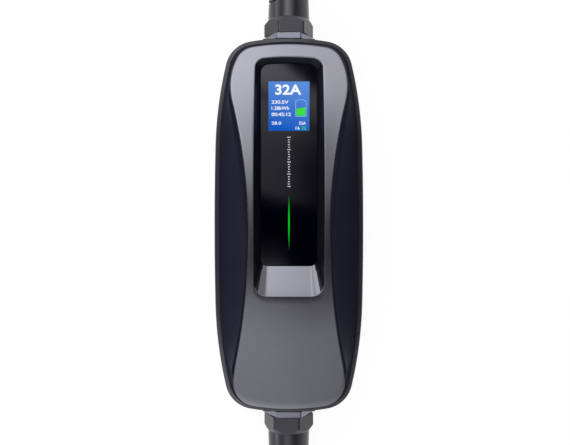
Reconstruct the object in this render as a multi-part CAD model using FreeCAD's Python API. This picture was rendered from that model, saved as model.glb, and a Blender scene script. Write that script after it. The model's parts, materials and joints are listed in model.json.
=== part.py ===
"""Control box of a portable electric vehicle charger, with its two cable glands.

Units are millimetres. The box lies on its back on the XY plane: +Z points out of the
front, +Y runs along the box to the supply gland and -Y to the vehicle gland. The origin
is the middle of the back face.
"""
import FreeCAD, Part
import math
import os
from FreeCAD import Vector

# Plan of the case: each quarter is four tangent arcs
CASE_HALF_WIDTH = 49.8
CASE_HALF_LENGTH = 125.0
SIDE_RADIUS = 2200.0
SIDE_RUN = 52.0
FLANK_RADIUS = 270.0
CASE_CORNER_RADIUS = 20.0
CASE_END_RADIUS = 150.0

# Heights above the back
PARTING_HEIGHT = 39.0
LEDGE_HEIGHT = 42.6
FRONT_HEIGHT = 58.0
WINDOW_HEIGHT = 45.0

# Rear shell
WALL = 3.2
FLOOR = 3.0
DRAFT_INSET = 2.5
BACK_EDGE_RADIUS = 5.0

# Front shell: a rim, a saddle block with a scooped flank on each side, and a deck
LID_INSET = 0.4
LEDGE_WIDTH = 2.9
LEDGE_BEVEL = 1.5
FOOT_RISE = 5.0
FOOT_RUN = 3.0
TOP_RUN = 4.6
SCOOP_RADIUS = 415.0
SCOOP_LIP = ((0.0, 2.5), (0.9, -0.3))
SCOOP_HOLLOW = ((8.7, -9.3), (19.6, -13.9))
SCOOP_LAND = 0.7
SADDLE_WALL = 2.6
DECK_THICKNESS = 2.2

# Plan of the fascia: a waisted outline, each half a chain of tangent arcs. The margin is left
# between its end and the case's, and the shoulder's centre lies that far back from its end.
WAIST_HALF_WIDTH = 26.5
WAIST_Y = -6.0
UPPER = {"half_width": 38.4, "shoulder": 42.0, "shoulder_back": 28.03, "corner": 13.8,
         "margin": 6.4, "end_radius": 150.0}
LOWER = {"half_width": 36.1, "shoulder": 90.0, "shoulder_back": 13.08, "corner": 15.6,
         "margin": 6.8, "end_radius": 150.0}
FASCIA_THICKNESS = 2.4
FASCIA_PROUD = 0.3
FASCIA_GAP = 0.2
FASCIA_EDGE_BREAK = 0.5

# Side profile of the front: flat, then a long arc that falls towards the supply end
ARCH_START_Y = -75.0
ARCH_END_Y = 90.0
ARCH_TILT_DEG = 4.4

# Display recess in the fascia
RECESS_HALF_WIDTH = 18.7
RECESS_TOP_MARGIN = 11.7
RECESS_TOP_Y = CASE_HALF_LENGTH - UPPER["margin"] - RECESS_TOP_MARGIN
RECESS_BOTTOM_Y = -27.2
RECESS_TOP_CORNER = 5.5
RECESS_BOTTOM_CORNER = 4.8
RECESS_END_RADIUS = 150.0
RECESS_WALL_RUN = 4.0
RECESS_TOP_RUN = 3.4
RAMP_RUN = 18.6
OPENING_TOP_CORNER = 7.0
OPENING_BOTTOM_CORNER = 9.4
TUB_WALL = 2.0
TUB_FLOOR = 1.8
RECESS_LIFT = 2.0
CLIP = (7.0, 2.0)
CLIP_LIP = 0.8
CLIP_X = 25.3
CLIP_BACK = 50.0

# Display window, panel and status light
WINDOW_THICKNESS = 2.0
FIT_GAP = 0.1
LCD_WIDTH = 34.0
LCD_LENGTH = 45.8
LCD_Y = RECESS_TOP_Y - 28.1
LCD_GLASS = 2.6
LCD_BACKLIGHT = 2.4
LCD_GAP = 0.3
DISPLAY_BOARD_HALF_WIDTH = 17.4
DISPLAY_BOARD_TOP_Y = RECESS_TOP_Y - 2.9
DISPLAY_BOARD_BOTTOM_Y = RECESS_BOTTOM_Y + 3.2
DISPLAY_PEG_X = 15.0
DISPLAY_PEG_TOP_Y = LCD_Y - LCD_LENGTH / 2 - 6.9
DISPLAY_PEG_BOTTOM_Y = DISPLAY_BOARD_BOTTOM_Y + 4.0
BOARD_THICKNESS = 1.6
LIGHT_TOP_Y = 21.1
LIGHT_BOTTOM_Y = -17.3
LIGHT_WIDTH = 1.8
LIGHT_FOOT_WIDTH = 4.0
LIGHT_FOOT = 1.2
LED_SIZE = (3.0, 2.0, 1.0)
LED_COUNT = 3

# Case screws, sunk in wells from the back and placed from the centre of the case's corner arc
CASE_SCREW_SHIFT = (8.9, -2.5)
POST_RADIUS = 4.5
POST_CLEARANCE = 0.5
WELL_RADIUS = 3.6
WELL_DEPTH = 18.0
POST_HEIGHT = 29.0
CASE_SCREW_RADIUS = 1.75
CASE_SCREW_HEAD_RADIUS = 3.2
CASE_SCREW_HEAD = 2.4
CASE_SCREW_GRIP = 6.0
SCREW_GAP = 0.15

# Square pegs that carry the boards
PILLAR = 6.0
PEG = 2.4
BOARD_PEGS = ((30.0, 70.0), (30.0, -70.0))

# Seal in a step round the rear shell's mouth
SEAL_WIDTH = 1.6
SEAL_STEP = 1.5

# Main board and what stands on it
MAIN_BOARD_HALF_WIDTH = 33.6
MAIN_BOARD_HALF_LENGTH = 97.0
MAIN_BOARD_HEIGHT = 10.0
CASE_BEVEL = 0.8
RELAY = (28.0, 32.0, 21.0)
RELAY_BASE = 2.5
RELAY_BASE_EDGE = 0.5
RELAY_X = 17.0
RELAY_Y = 20.0
TERMINAL_DEPTH = 16.0
TERMINAL_HEIGHT = 18.0
TERMINAL_PITCH = 13.0
TERMINAL_WALL = 1.0
TERMINAL_MOUTH = 7.8
TERMINAL_MOUTH_DEPTH = 5.6
TERMINAL_MOUTH_Z = 2.0
TERMINAL_SLOT = 2.0
TERMINAL_SLOT_DEPTH = 7.2
TERMINAL_SLOT_Y = 3.0
TERMINAL_Y = 74.0
SUPPLY_POLES = 3
VEHICLE_POLES = 4
SENSOR_RADIUS = 11.0
SENSOR_BORE = 6.2
SENSOR_THICKNESS = 12.0
SENSOR_Y = 52.0
SENSOR_BASE = 1.0
SENSOR_FOOT = 17.6
LINK = (3.6, 2.0)
LINK_X = 3.0
LINK_BEND = 3.0
LINK_REACH = 11.5
POWER_MODULE = (30.0, 36.0, 16.0)
POWER_MODULE_X = -15.0
POWER_MODULE_Y = -30.0
POWER_MODULE_BEVEL = 1.2
FILTER_CAPACITOR = (18.0, 9.0, 15.0)
FILTER_CAPACITOR_X = 20.0
FILTER_CAPACITOR_Y = -14.0
VARISTOR_RADIUS = 7.0
VARISTOR_THICKNESS = 5.0
VARISTOR_Y = -29.0
RESERVOIR_RADIUS = 6.3
RESERVOIR_HEIGHT = 20.0
RESERVOIR_Y = -42.0
BUZZER_RADIUS = 6.0
BUZZER_HEIGHT = 9.0
BUZZER_HOLE_RADIUS = 1.2
BUZZER_HOLE_DEPTH = 2.7
BUZZER_X = -24.0
CHIP_ROW_Y = -57.0
CHIPS = {"microcontroller": (12.0, 12.0, 1.6, 10.0), "pilot_driver": (6.0, 8.0, 1.6, -4.0)}
CHIP_BEVEL = 0.3
CHIP_LEAD = (1.5, 0.8, 0.5)
CHIP_LEAD_PITCH = 2.0
HEADER = (20.0, 6.0, 5.4)
HEADER_BEVEL = 0.5
HEADER_Y = -6.0
RIBBON_WIDTH = 16.0
RIBBON_THICKNESS = 0.9
RIBBON_SHIFT = 6.0

# Cable glands
GLAND_HEIGHT = 20.5
GLAND_PAD_WIDTH = 35.0
GLAND_PAD_BOTTOM = 4.5
GLAND_PAD_TOP = 37.0
GLAND_PAD_PROUD = 0.2
GLAND_PAD_Y = CASE_HALF_LENGTH + GLAND_PAD_PROUD
GLAND_PAD_THICKNESS = 6.4
GLAND_HOLE_RADIUS = 12.6
GLAND_THREAD_RADIUS = 12.4
GLAND_THREAD_LENGTH = 14.0
GLAND_GASKET = 1.2
GLAND_GASKET_RADIUS = 13.9
GLAND_FLANGE = 3.7
GLAND_BODY_FLATS = 29.0
GLAND_NECK_RADIUS = 13.2
GLAND_NECK_LENGTH = 7.0
GLAND_BORE_RADIUS = 9.6
GLAND_SHOULDER = 2.0
LOCKNUT_FLATS = 32.0
LOCKNUT_THICKNESS = 5.0
HEX_EDGE_ROUND = 1.8
CABLE_BORE_RADIUS = 8.5
INSERT_LENGTH = 13.0
INSERT_WALL = 2.1
INSERT_BEVEL = 1.4
NUT_FLATS = 30.0
NUT_HEIGHT = 11.2
NUT_TURN_DEG = 6.0
NUT_BEVEL_SLOPE = 1.27
NUT_GAP = 0.2
BOOT_LENGTH = 34.0
BOOT_ROOT_RADIUS = 14.3
BOOT_TIP_RADIUS = 13.2
BOOT_BORE_RADIUS = 9.2
BOOT_TIP_BEVEL = 0.8
SPIRAL_START = 9.5
SPIRAL_PITCH = 7.2
SPIRAL_HALF_TURNS = 5
SPIRAL_SLOT = 0.9
SPIRAL_MOUTH = 2.9
SPIRAL_MEET_DEG = 4.0

# How far a cutting tool passes the surface it cuts, and how far a wide one passes the case
CUT = 1.0
REACH = 10.0


def circle_meeting(centre_a, radius_a, centre_b, radius_b):
    """Point at the given distances from two centres, on the outer (+X) side."""
    dx = centre_b[0] - centre_a[0]
    dy = centre_b[1] - centre_a[1]
    gap = math.hypot(dx, dy)
    along = (radius_a ** 2 - radius_b ** 2 + gap ** 2) / (2 * gap)
    across = math.sqrt(radius_a ** 2 - along ** 2)
    foot = (centre_a[0] + along * dx / gap, centre_a[1] + along * dy / gap)
    options = [(foot[0] + s * across * dy / gap, foot[1] - s * across * dx / gap) for s in (1, -1)]
    return max(options)


def bearing(start, end):
    """Angle of the direction from one point to another."""
    return math.atan2(end[1] - start[1], end[0] - start[0])


def case_quarter(offset):
    """Arcs of the case outline from the middle of the side to the middle of the end."""
    side = (CASE_HALF_WIDTH - SIDE_RADIUS, 0.0)
    turn = math.asin(SIDE_RUN / SIDE_RADIUS)
    reach = SIDE_RADIUS - FLANK_RADIUS
    flank = (side[0] + reach * math.cos(turn), side[1] + reach * math.sin(turn))
    end = (0.0, CASE_HALF_LENGTH - CASE_END_RADIUS)
    corner = circle_meeting(end, CASE_END_RADIUS - CASE_CORNER_RADIUS,
                            flank, FLANK_RADIUS - CASE_CORNER_RADIUS)
    flank_turn = bearing(flank, corner)
    end_turn = bearing(end, corner)
    return [(side, SIDE_RADIUS + offset, 0.0, turn),
            (flank, FLANK_RADIUS + offset, turn, flank_turn),
            (corner, CASE_CORNER_RADIUS + offset, flank_turn, end_turn),
            (end, CASE_END_RADIUS + offset, end_turn, math.pi / 2)]


def fascia_end(half):
    """Distance from the middle of the box to the fascia's end."""
    return CASE_HALF_LENGTH - half["margin"]


def waist_radius(half, shoulder, waist_y):
    """Radius of the hollow side that passes the waist and touches the shoulder's arc."""
    across = WAIST_HALF_WIDTH - shoulder[0]
    along = shoulder[1] - waist_y
    return (across ** 2 + along ** 2 - half["shoulder"] ** 2) / (2 * (half["shoulder"] - across))


def saddle_quarter(half, waist_y, offset):
    """Arcs of the waisted outline from the waist to the middle of one end."""
    shoulder = (half["half_width"] - half["shoulder"], fascia_end(half) - half["shoulder_back"])
    hollow = waist_radius(half, shoulder, waist_y)
    waist = (WAIST_HALF_WIDTH + hollow, waist_y)
    end = (0.0, fascia_end(half) - half["end_radius"])
    corner = circle_meeting(end, half["end_radius"] - half["corner"],
                            shoulder, half["shoulder"] - half["corner"])
    waist_turn = bearing(waist, shoulder)
    return [(waist, hollow - offset, math.pi, waist_turn),
            (shoulder, half["shoulder"] + offset, waist_turn - math.pi, bearing(shoulder, corner)),
            (corner, half["corner"] + offset, bearing(shoulder, corner), bearing(end, corner)),
            (end, half["end_radius"] + offset, bearing(end, corner), math.pi / 2)]


def quarters(kind, offset):
    """Upper and lower quarter chains of the case or of the fascia outline."""
    if kind == "case":
        return case_quarter(offset), case_quarter(offset)
    return (saddle_quarter(UPPER, WAIST_Y, offset), saddle_quarter(LOWER, -WAIST_Y, offset))


def chain_point(arc, share):
    """Point at a share of one arc's turn."""
    centre, radius, start, stop = arc
    angle = start + (stop - start) * share
    return (centre[0] + radius * math.cos(angle), centre[1] + radius * math.sin(angle))


def outline_wire(kind, offset, z):
    """Exact closed wire of arcs at height z."""
    upper, lower = quarters(kind, offset)
    edges = []
    for chain, sign_y in ((upper, 1), (lower, -1)):
        for sign_x in (1, -1):
            for arc in chain:
                points = [chain_point(arc, share) for share in (0.0, 0.5, 1.0)]
                edges.append(Part.Arc(*[Vector(sign_x * p[0], sign_y * p[1], z)
                                        for p in points]).toShape())
    return Part.Wire(Part.__sortEdges__(edges))


def prism(wire, height):
    """Solid that stands on a flat wire."""
    return Part.Face(wire).extrude(Vector(0, 0, height))


def ring(kind, outer, inner, z, height):
    """Band between two offsets of an outline."""
    return prism(outline_wire(kind, outer, z), height).cut(
        prism(outline_wire(kind, inner, z - CUT), height + 2 * CUT))


def block(size, x, y, z):
    """Box centred on x and y, standing on z."""
    return Part.makeBox(size[0], size[1], size[2], Vector(x - size[0] / 2, y - size[1] / 2, z))


def rod(radius, x, y, z, height):
    """Upright cylinder standing on z."""
    return Part.makeCylinder(radius, height, Vector(x, y, z))


def disc_y(radius, y, thickness):
    """Cylinder round the supply gland's axis, from y outwards."""
    return Part.makeCylinder(radius, thickness, Vector(0, y, GLAND_HEIGHT), Vector(0, 1, 0))


def turned_y(points):
    """Solid of revolution round the supply gland's axis from (radius, y) points."""
    outline = [Vector(r, y, GLAND_HEIGHT) for r, y in points]
    face = Part.Face(Part.makePolygon(outline + outline[:1]))
    return face.revolve(Vector(0, 0, GLAND_HEIGHT), Vector(0, 1, 0), 360)


def hexagon_y(flats, y, thickness):
    """Hexagonal bar round the supply gland's axis, a flat to the front, edges rounded."""
    corner = flats / math.sqrt(3)
    points = [Vector(corner * math.cos(math.radians(60 * i)), y,
                     GLAND_HEIGHT + corner * math.sin(math.radians(60 * i))) for i in range(7)]
    bar = Part.Face(Part.makePolygon(points)).extrude(Vector(0, thickness, 0))
    edges = [e for e in bar.Edges if abs(e.Vertexes[0].Y - e.Vertexes[-1].Y) > thickness / 2]
    return bar.makeFillet(HEX_EDGE_ROUND, edges)


def edges_at(shape, z, tolerance=0.01):
    """Edges that lie wholly at height z."""
    return [e for e in shape.Edges
            if abs(e.BoundBox.ZMin - z) < tolerance and abs(e.BoundBox.ZMax - z) < tolerance]


def mirrored_positions(*places):
    """Each place and its mirror image across the box's long axis."""
    return [(sign * x, y) for x, y in places for sign in (1, -1)]


def case_screw_places():
    """The four case screws, near the corners."""
    corner = case_quarter(0)[2][0]
    x, y = corner[0] + CASE_SCREW_SHIFT[0], corner[1] + CASE_SCREW_SHIFT[1]
    return mirrored_positions((x, y), (x, -y))


def arch_drop(y):
    """How far the front surface has fallen at y below its flat height."""
    tilt = math.radians(ARCH_TILT_DEG)
    radius = (ARCH_END_Y - ARCH_START_Y) / math.sin(tilt)
    if y <= ARCH_START_Y:
        return 0.0
    if y <= ARCH_END_Y:
        return radius - math.sqrt(radius ** 2 - (y - ARCH_START_Y) ** 2)
    return radius * (1 - math.cos(tilt)) + (y - ARCH_END_Y) * math.tan(tilt)


def below_front(lowered):
    """Everything under the front surface, once that is lowered by the given amount."""
    reach_y = CASE_HALF_LENGTH + REACH
    reach_x = CASE_HALF_WIDTH + REACH
    top = FRONT_HEIGHT - lowered

    def at(y):
        return Vector(-reach_x, y, top - arch_drop(y))

    middle = (ARCH_START_Y + ARCH_END_Y) / 2
    edges = [Part.LineSegment(at(-reach_y), at(ARCH_START_Y)).toShape(),
             Part.Arc(at(ARCH_START_Y), at(middle), at(ARCH_END_Y)).toShape(),
             Part.LineSegment(at(ARCH_END_Y), at(reach_y)).toShape(),
             Part.LineSegment(at(reach_y), Vector(-reach_x, reach_y, 0)).toShape(),
             Part.LineSegment(Vector(-reach_x, reach_y, 0), Vector(-reach_x, -reach_y, 0)).toShape(),
             Part.LineSegment(Vector(-reach_x, -reach_y, 0), at(-reach_y)).toShape()]
    return Part.Face(Part.Wire(edges)).extrude(Vector(2 * reach_x, 0, 0))


def chord_height(y, start_y, end_y, lift):
    """Height of a flat sloping plane laid over the arched front between two places."""
    start = FRONT_HEIGHT - arch_drop(start_y)
    end = FRONT_HEIGHT - arch_drop(end_y)
    return start + (end - start) * (y - start_y) / (end_y - start_y) + lift


def scoop_cutter(sign, offset):
    """Air beside one flank: a hollow profile swung about a far upright axis.

    The offset moves it inwards and down, which leaves that much wall."""
    axis_x = WAIST_HALF_WIDTH + SCOOP_LAND + SCOOP_RADIUS
    crest = FRONT_HEIGHT - arch_drop(WAIST_Y) - offset
    start_x = WAIST_HALF_WIDTH + SCOOP_LAND - offset
    top, lip, middle, foot = [Vector(start_x + dx, WAIST_Y, crest + dz) for dx, dz in SCOOP_LIP + SCOOP_HOLLOW]
    far_x = CASE_HALF_WIDTH + REACH
    outer = Part.makePolygon([foot, Vector(far_x, WAIST_Y, foot.z), Vector(far_x, WAIST_Y, top.z), top, lip])
    face = Part.Face(Part.Wire([Part.Arc(lip, middle, foot).toShape()] + outer.Edges))
    turn = math.degrees(math.asin(CASE_HALF_LENGTH / SCOOP_RADIUS))
    face.rotate(Vector(axis_x, WAIST_Y, 0), Vector(0, 0, 1), -turn)
    cutter = face.revolve(Vector(axis_x, WAIST_Y, 0), Vector(0, 0, 1), 2 * turn)
    return cutter if sign > 0 else cutter.mirror(Vector(0, 0, 0), Vector(1, 0, 0))


def both_scoops(offset):
    """The air beside both flanks."""
    return [scoop_cutter(1, offset), scoop_cutter(-1, offset)]


def saddle_block(inset, base_z):
    """Drafted block under the fascia, hollowed along both flanks."""
    start = -LID_INSET - LEDGE_WIDTH - inset
    levels = [(0.0, base_z), (FOOT_RUN, LEDGE_HEIGHT + FOOT_RISE), (TOP_RUN, FRONT_HEIGHT + CUT)]
    wires = [outline_wire("case", start - run, z) for run, z in levels]
    return Part.makeLoft(wires, True, True).removeSplitter().cut(both_scoops(inset))


def recess_outline(half_width, top_y, bottom_y, top_corner, bottom_corner, grow, height_at):
    """Closed wire of the recess: arched top, straight sides and bottom, round corners."""
    x = half_width + grow
    top = top_y + grow
    bottom = bottom_y - grow
    r_top = top_corner + grow
    r_low = bottom_corner + grow
    r_end = RECESS_END_RADIUS + grow
    end_y = top - r_end
    corner_y = end_y + math.sqrt((r_end - r_top) ** 2 - (x - r_top) ** 2)
    lean = math.atan2(corner_y - end_y, x - r_top)

    def point(px, py):
        return Vector(px, py, height_at(py))

    def corner_arc(cx, cy, radius, start, stop):
        angles = (start, (start + stop) / 2, stop)
        return Part.Arc(*[point(cx + radius * math.cos(a), cy + radius * math.sin(a))
                          for a in angles]).toShape()

    meet = (x - r_top + r_top * math.cos(lean), corner_y + r_top * math.sin(lean))
    low_y = bottom + r_low
    edges = [Part.LineSegment(point(x, low_y), point(x, corner_y)).toShape(),
             corner_arc(x - r_top, corner_y, r_top, 0.0, lean),
             Part.Arc(point(*meet), point(0, top), point(-meet[0], meet[1])).toShape(),
             corner_arc(r_top - x, corner_y, r_top, math.pi - lean, math.pi),
             Part.LineSegment(point(-x, corner_y), point(-x, low_y)).toShape(),
             corner_arc(r_low - x, low_y, r_low, math.pi, 1.5 * math.pi),
             Part.LineSegment(point(r_low - x, bottom), point(x - r_low, bottom)).toShape(),
             corner_arc(x - r_low, low_y, r_low, 1.5 * math.pi, 2 * math.pi)]
    return Part.Wire(edges)


def recess_floor(grow, z):
    """The recess outline at the window's level."""
    return recess_outline(RECESS_HALF_WIDTH, RECESS_TOP_Y, RECESS_BOTTOM_Y,
                          RECESS_TOP_CORNER, RECESS_BOTTOM_CORNER, grow, lambda y: z)


def recess_flare(grow, floor_z):
    """Solid of the recess between the window's level and just over the front surface."""
    run = 1 + RECESS_LIFT / (FRONT_HEIGHT - WINDOW_HEIGHT)
    bottom_y = RECESS_BOTTOM_Y - RAMP_RUN * run
    top_y = RECESS_TOP_Y + RECESS_TOP_RUN + RECESS_LIFT / 2
    half_width = RECESS_HALF_WIDTH + RECESS_WALL_RUN * run

    def sloping(y):
        return chord_height(y, bottom_y, top_y, RECESS_LIFT)

    opening = recess_outline(half_width, top_y, bottom_y, OPENING_TOP_CORNER,
                             OPENING_BOTTOM_CORNER, grow, sloping)
    return Part.makeLoft([recess_floor(grow, floor_z), opening], True, True)


def lens_outline(grow, z):
    """Needle shape of the status light, two arcs that meet in points."""
    half = LIGHT_WIDTH / 2 + grow
    top = Vector(0, LIGHT_TOP_Y + grow, z)
    low = Vector(0, LIGHT_BOTTOM_Y - grow, z)
    middle = (LIGHT_TOP_Y + LIGHT_BOTTOM_Y) / 2
    return Part.Wire([Part.Arc(low, Vector(half, middle, z), top).toShape(),
                      Part.Arc(top, Vector(-half, middle, z), low).toShape()])


def rear_shell():
    """Deep tray with gland pads, screw posts, board pillars and a step for the seal."""
    wires = [outline_wire("case", -DRAFT_INSET, 0), outline_wire("case", 0, PARTING_HEIGHT)]
    outer = Part.makeLoft(wires, True, True)
    outer = outer.makeFillet(BACK_EDGE_RADIUS, edges_at(outer, 0))
    floor_inset = DRAFT_INSET * (1 - FLOOR / PARTING_HEIGHT)
    inner = Part.makeLoft([outline_wire("case", -floor_inset - WALL - FIT_GAP, FLOOR),
                           outline_wire("case", -WALL, PARTING_HEIGHT)], True, True).removeSplitter()
    pad_start = GLAND_PAD_Y - GLAND_PAD_THICKNESS
    pad = block((GLAND_PAD_WIDTH, GLAND_PAD_THICKNESS, GLAND_PAD_TOP - GLAND_PAD_BOTTOM),
                0, pad_start + GLAND_PAD_THICKNESS / 2, GLAND_PAD_BOTTOM)
    posts = [rod(POST_RADIUS, x, y, CUT, POST_HEIGHT - CUT) for x, y in case_screw_places()]
    pillars = []
    for x, y in board_peg_places():
        pillars.append(block((PILLAR, PILLAR, MAIN_BOARD_HEIGHT - CUT), x, y, CUT))
        pillars.append(block((PEG, PEG, BOARD_THICKNESS + 2 * CUT), x, y, MAIN_BOARD_HEIGHT - CUT))
    body = outer.cut(inner).fuse(posts + pillars + [pad, half_turn(pad)])
    step = prism(outline_wire("case", -WALL + SEAL_WIDTH, PARTING_HEIGHT - SEAL_STEP), SEAL_STEP)
    hole = disc_y(GLAND_HOLE_RADIUS, pad_start - CUT, GLAND_PAD_THICKNESS + 2 * CUT)
    cutters = [step, hole, half_turn(hole)]
    for x, y in case_screw_places():
        cutters.append(rod(WELL_RADIUS, x, y, -CUT, WELL_DEPTH + CUT))
        cutters.append(rod(CASE_SCREW_RADIUS + SCREW_GAP, x, y, 0, POST_HEIGHT + CUT))
    return body.cut(cutters)


def half_turn(shape):
    """Copy of a piece of the supply end, turned to the vehicle end."""
    turned = shape.copy()
    turned.rotate(Vector(0, 0, 0), Vector(0, 0, 1), 180)
    return turned


def front_shell():
    """Black lid: bevelled rim, scooped flanks, screw posts and a deck with a slot."""
    bevel_z = LEDGE_HEIGHT - LEDGE_BEVEL
    rim = [outline_wire("case", -LID_INSET, PARTING_HEIGHT), outline_wire("case", -LID_INSET, bevel_z),
           outline_wire("case", -LID_INSET - LEDGE_BEVEL, LEDGE_HEIGHT)]
    rim = Part.makeLoft(rim, True, True).removeSplitter()
    outer = rim.fuse(saddle_block(0, LEDGE_HEIGHT - CUT).common(below_front(FASCIA_PROUD)))
    roof = FASCIA_THICKNESS + DECK_THICKNESS
    hollow = saddle_block(SADDLE_WALL, PARTING_HEIGHT - CUT).common(below_front(roof))
    boss_z = POST_HEIGHT + FIT_GAP
    bosses = []
    for x, y in case_screw_places():
        boss = rod(POST_RADIUS, x, y, boss_z, deck_under(y) + DECK_THICKNESS / 2 - boss_z)
        bosses.append(boss.cut(both_scoops(0)))
    body = outer.cut(hollow).fuse(bosses)
    seat = prism(outline_wire("fascia", FASCIA_GAP, PARTING_HEIGHT), FRONT_HEIGHT)
    cutters = [seat.cut(below_front(FASCIA_THICKNESS)), tub_block(FASCIA_GAP + FIT_GAP)]
    cutters += [rod(CASE_SCREW_RADIUS + FIT_GAP / 2, x, y, boss_z - CUT, CASE_SCREW_GRIP + 2 * CUT)
                for x, y in case_screw_places()]
    cutters += [block((CLIP[1] + CLIP_LIP + 2 * FASCIA_GAP, CLIP[0] + 2 * FASCIA_GAP, FRONT_HEIGHT),
                      x + math.copysign(CLIP_LIP / 2, x), y, PARTING_HEIGHT) for x, y in clip_places()]
    return body.cut(cutters)


def clip_places():
    """Four clips that hold the fascia to the deck."""
    return mirrored_positions((CLIP_X, fascia_end(UPPER) - CLIP_BACK), (CLIP_X, CLIP_BACK - fascia_end(LOWER)))


def display_peg_places():
    """Four pegs that hold the display board to the tub."""
    return mirrored_positions((DISPLAY_PEG_X, DISPLAY_PEG_TOP_Y), (DISPLAY_PEG_X, DISPLAY_PEG_BOTTOM_Y))


def board_peg_places():
    """Four pegs that hold the main board to the rear shell."""
    return mirrored_positions(*BOARD_PEGS)


def deck_under(y):
    """Height of the underside of the front shell's deck at y."""
    return FRONT_HEIGHT - arch_drop(y) - FASCIA_THICKNESS - DECK_THICKNESS


def display_board_z():
    """Underside of the display board, set by what is stacked over it."""
    return WINDOW_HEIGHT - WINDOW_THICKNESS - FIT_GAP - LCD_GLASS - LCD_BACKLIGHT - BOARD_THICKNESS


def tub_block(grow):
    """Plain tapered block round the recess, from under its floor up to the deck."""
    low = WINDOW_HEIGHT - WINDOW_THICKNESS - TUB_FLOOR
    wall = TUB_WALL + grow
    floor_x = RECESS_HALF_WIDTH + wall
    top_x = floor_x + RECESS_WALL_RUN
    rows = [(low, floor_x, RECESS_TOP_Y + wall, RECESS_BOTTOM_Y - wall),
            (FRONT_HEIGHT, top_x, RECESS_TOP_Y + RECESS_TOP_RUN + wall, RECESS_BOTTOM_Y - RAMP_RUN - wall)]
    wires = [Part.makePolygon([Vector(-x, bottom, z), Vector(x, bottom, z), Vector(x, top, z),
                               Vector(-x, top, z), Vector(-x, bottom, z)]) for z, x, top, bottom in rows]
    return Part.makeLoft(wires, True, True)


def fascia_clip(x, y):
    """Snap hook under the fascia, its lip turned outwards under the deck."""
    thickness, top = CLIP[1], FRONT_HEIGHT - arch_drop(y) - CUT
    lip_z = deck_under(y + math.copysign(CLIP[0] / 2, y)) - FIT_GAP - CLIP_LIP
    lip = CLIP_LIP + FASCIA_GAP
    hook = block((thickness, CLIP[0], top - lip_z), x, y, lip_z)
    return hook.fuse(block((lip, CLIP[0], CLIP_LIP), x + math.copysign((thickness + lip) / 2, x), y, lip_z))


def fascia():
    """Grey waisted cover in one piece with the tub that holds the display window."""
    under = WINDOW_HEIGHT - WINDOW_THICKNESS
    plate = prism(outline_wire("fascia", 0, PARTING_HEIGHT), FRONT_HEIGHT)
    plate = plate.common(below_front(0)).cut(below_front(FASCIA_THICKNESS))
    edge = [e for e in plate.Edges
            if e.CenterOfMass.z > FRONT_HEIGHT - arch_drop(e.CenterOfMass.y) - CUT / 2 and not crosses(e)]
    plate = plate.makeChamfer(FASCIA_EDGE_BREAK, edge)
    tub = tub_block(0).common(below_front(FASCIA_THICKNESS / 2))
    board_top = display_board_z() + BOARD_THICKNESS
    pegs = []
    for x, y in display_peg_places():
        pegs.append(block((PILLAR / 2, PILLAR, under - board_top), x, y, board_top))
        pegs.append(block((PEG / 2, PEG, BOARD_THICKNESS + CUT), x, y, board_top - BOARD_THICKNESS - CUT / 2))
    body = plate.fuse([tub] + pegs + [fascia_clip(x, y) for x, y in clip_places()])
    pocket = prism(recess_floor(FIT_GAP, under), WINDOW_THICKNESS)
    display = block((LCD_WIDTH + 2 * LCD_GAP, LCD_LENGTH + 2 * LCD_GAP, under), 0, LCD_Y, CUT)
    light = prism(lens_outline(FIT_GAP, CUT), under)
    return body.cut([recess_flare(0, WINDOW_HEIGHT), pocket, display, light])


def crosses(edge):
    """Whether an edge runs straight across the box."""
    return edge.BoundBox.YLength < FIT_GAP and edge.BoundBox.XLength > WAIST_HALF_WIDTH


def display_window():
    """Glossy sheet that fills the floor of the recess."""
    return prism(recess_floor(0, WINDOW_HEIGHT - WINDOW_THICKNESS), WINDOW_THICKNESS)


def lcd_panel():
    """Glass of the colour display, close under the window."""
    z = display_board_z() + BOARD_THICKNESS + LCD_BACKLIGHT
    return block((LCD_WIDTH, LCD_LENGTH, LCD_GLASS), 0, LCD_Y, z)


def lcd_backlight():
    """Backlight tray of the display, standing on its board."""
    return block((LCD_WIDTH, LCD_LENGTH, LCD_BACKLIGHT), 0, LCD_Y, display_board_z() + BOARD_THICKNESS)


def display_board():
    """Board that carries the display and the status lights."""
    length = DISPLAY_BOARD_TOP_Y - DISPLAY_BOARD_BOTTOM_Y
    middle = (DISPLAY_BOARD_TOP_Y + DISPLAY_BOARD_BOTTOM_Y) / 2
    z = display_board_z()
    board = block((2 * DISPLAY_BOARD_HALF_WIDTH, length, BOARD_THICKNESS), 0, middle, z)
    return board.cut([block((PEG / 2 + 2 * FIT_GAP, PEG + 2 * FIT_GAP, 3 * CUT), x, y, z - CUT)
                      for x, y in display_peg_places()])


def light_guide():
    """Clear bar that carries the status light up to the window."""
    foot_top = WINDOW_HEIGHT - WINDOW_THICKNESS - TUB_FLOOR - FIT_GAP
    needle = prism(lens_outline(0, foot_top - LIGHT_FOOT), TUB_FLOOR + LIGHT_FOOT)
    length = LIGHT_TOP_Y - LIGHT_BOTTOM_Y + LIGHT_FOOT_WIDTH
    foot = block((LIGHT_FOOT_WIDTH, length, LIGHT_FOOT), 0, (LIGHT_TOP_Y + LIGHT_BOTTOM_Y) / 2,
                 foot_top - LIGHT_FOOT)
    return needle.fuse(foot).removeSplitter()


def status_leds():
    """Row of small light sources under the light guide."""
    z = display_board_z() + BOARD_THICKNESS
    step = (LIGHT_TOP_Y - LIGHT_BOTTOM_Y) / (LED_COUNT + 1)
    return [block(LED_SIZE, 0, LIGHT_BOTTOM_Y + step * (i + 1), z) for i in range(LED_COUNT)]


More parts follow.
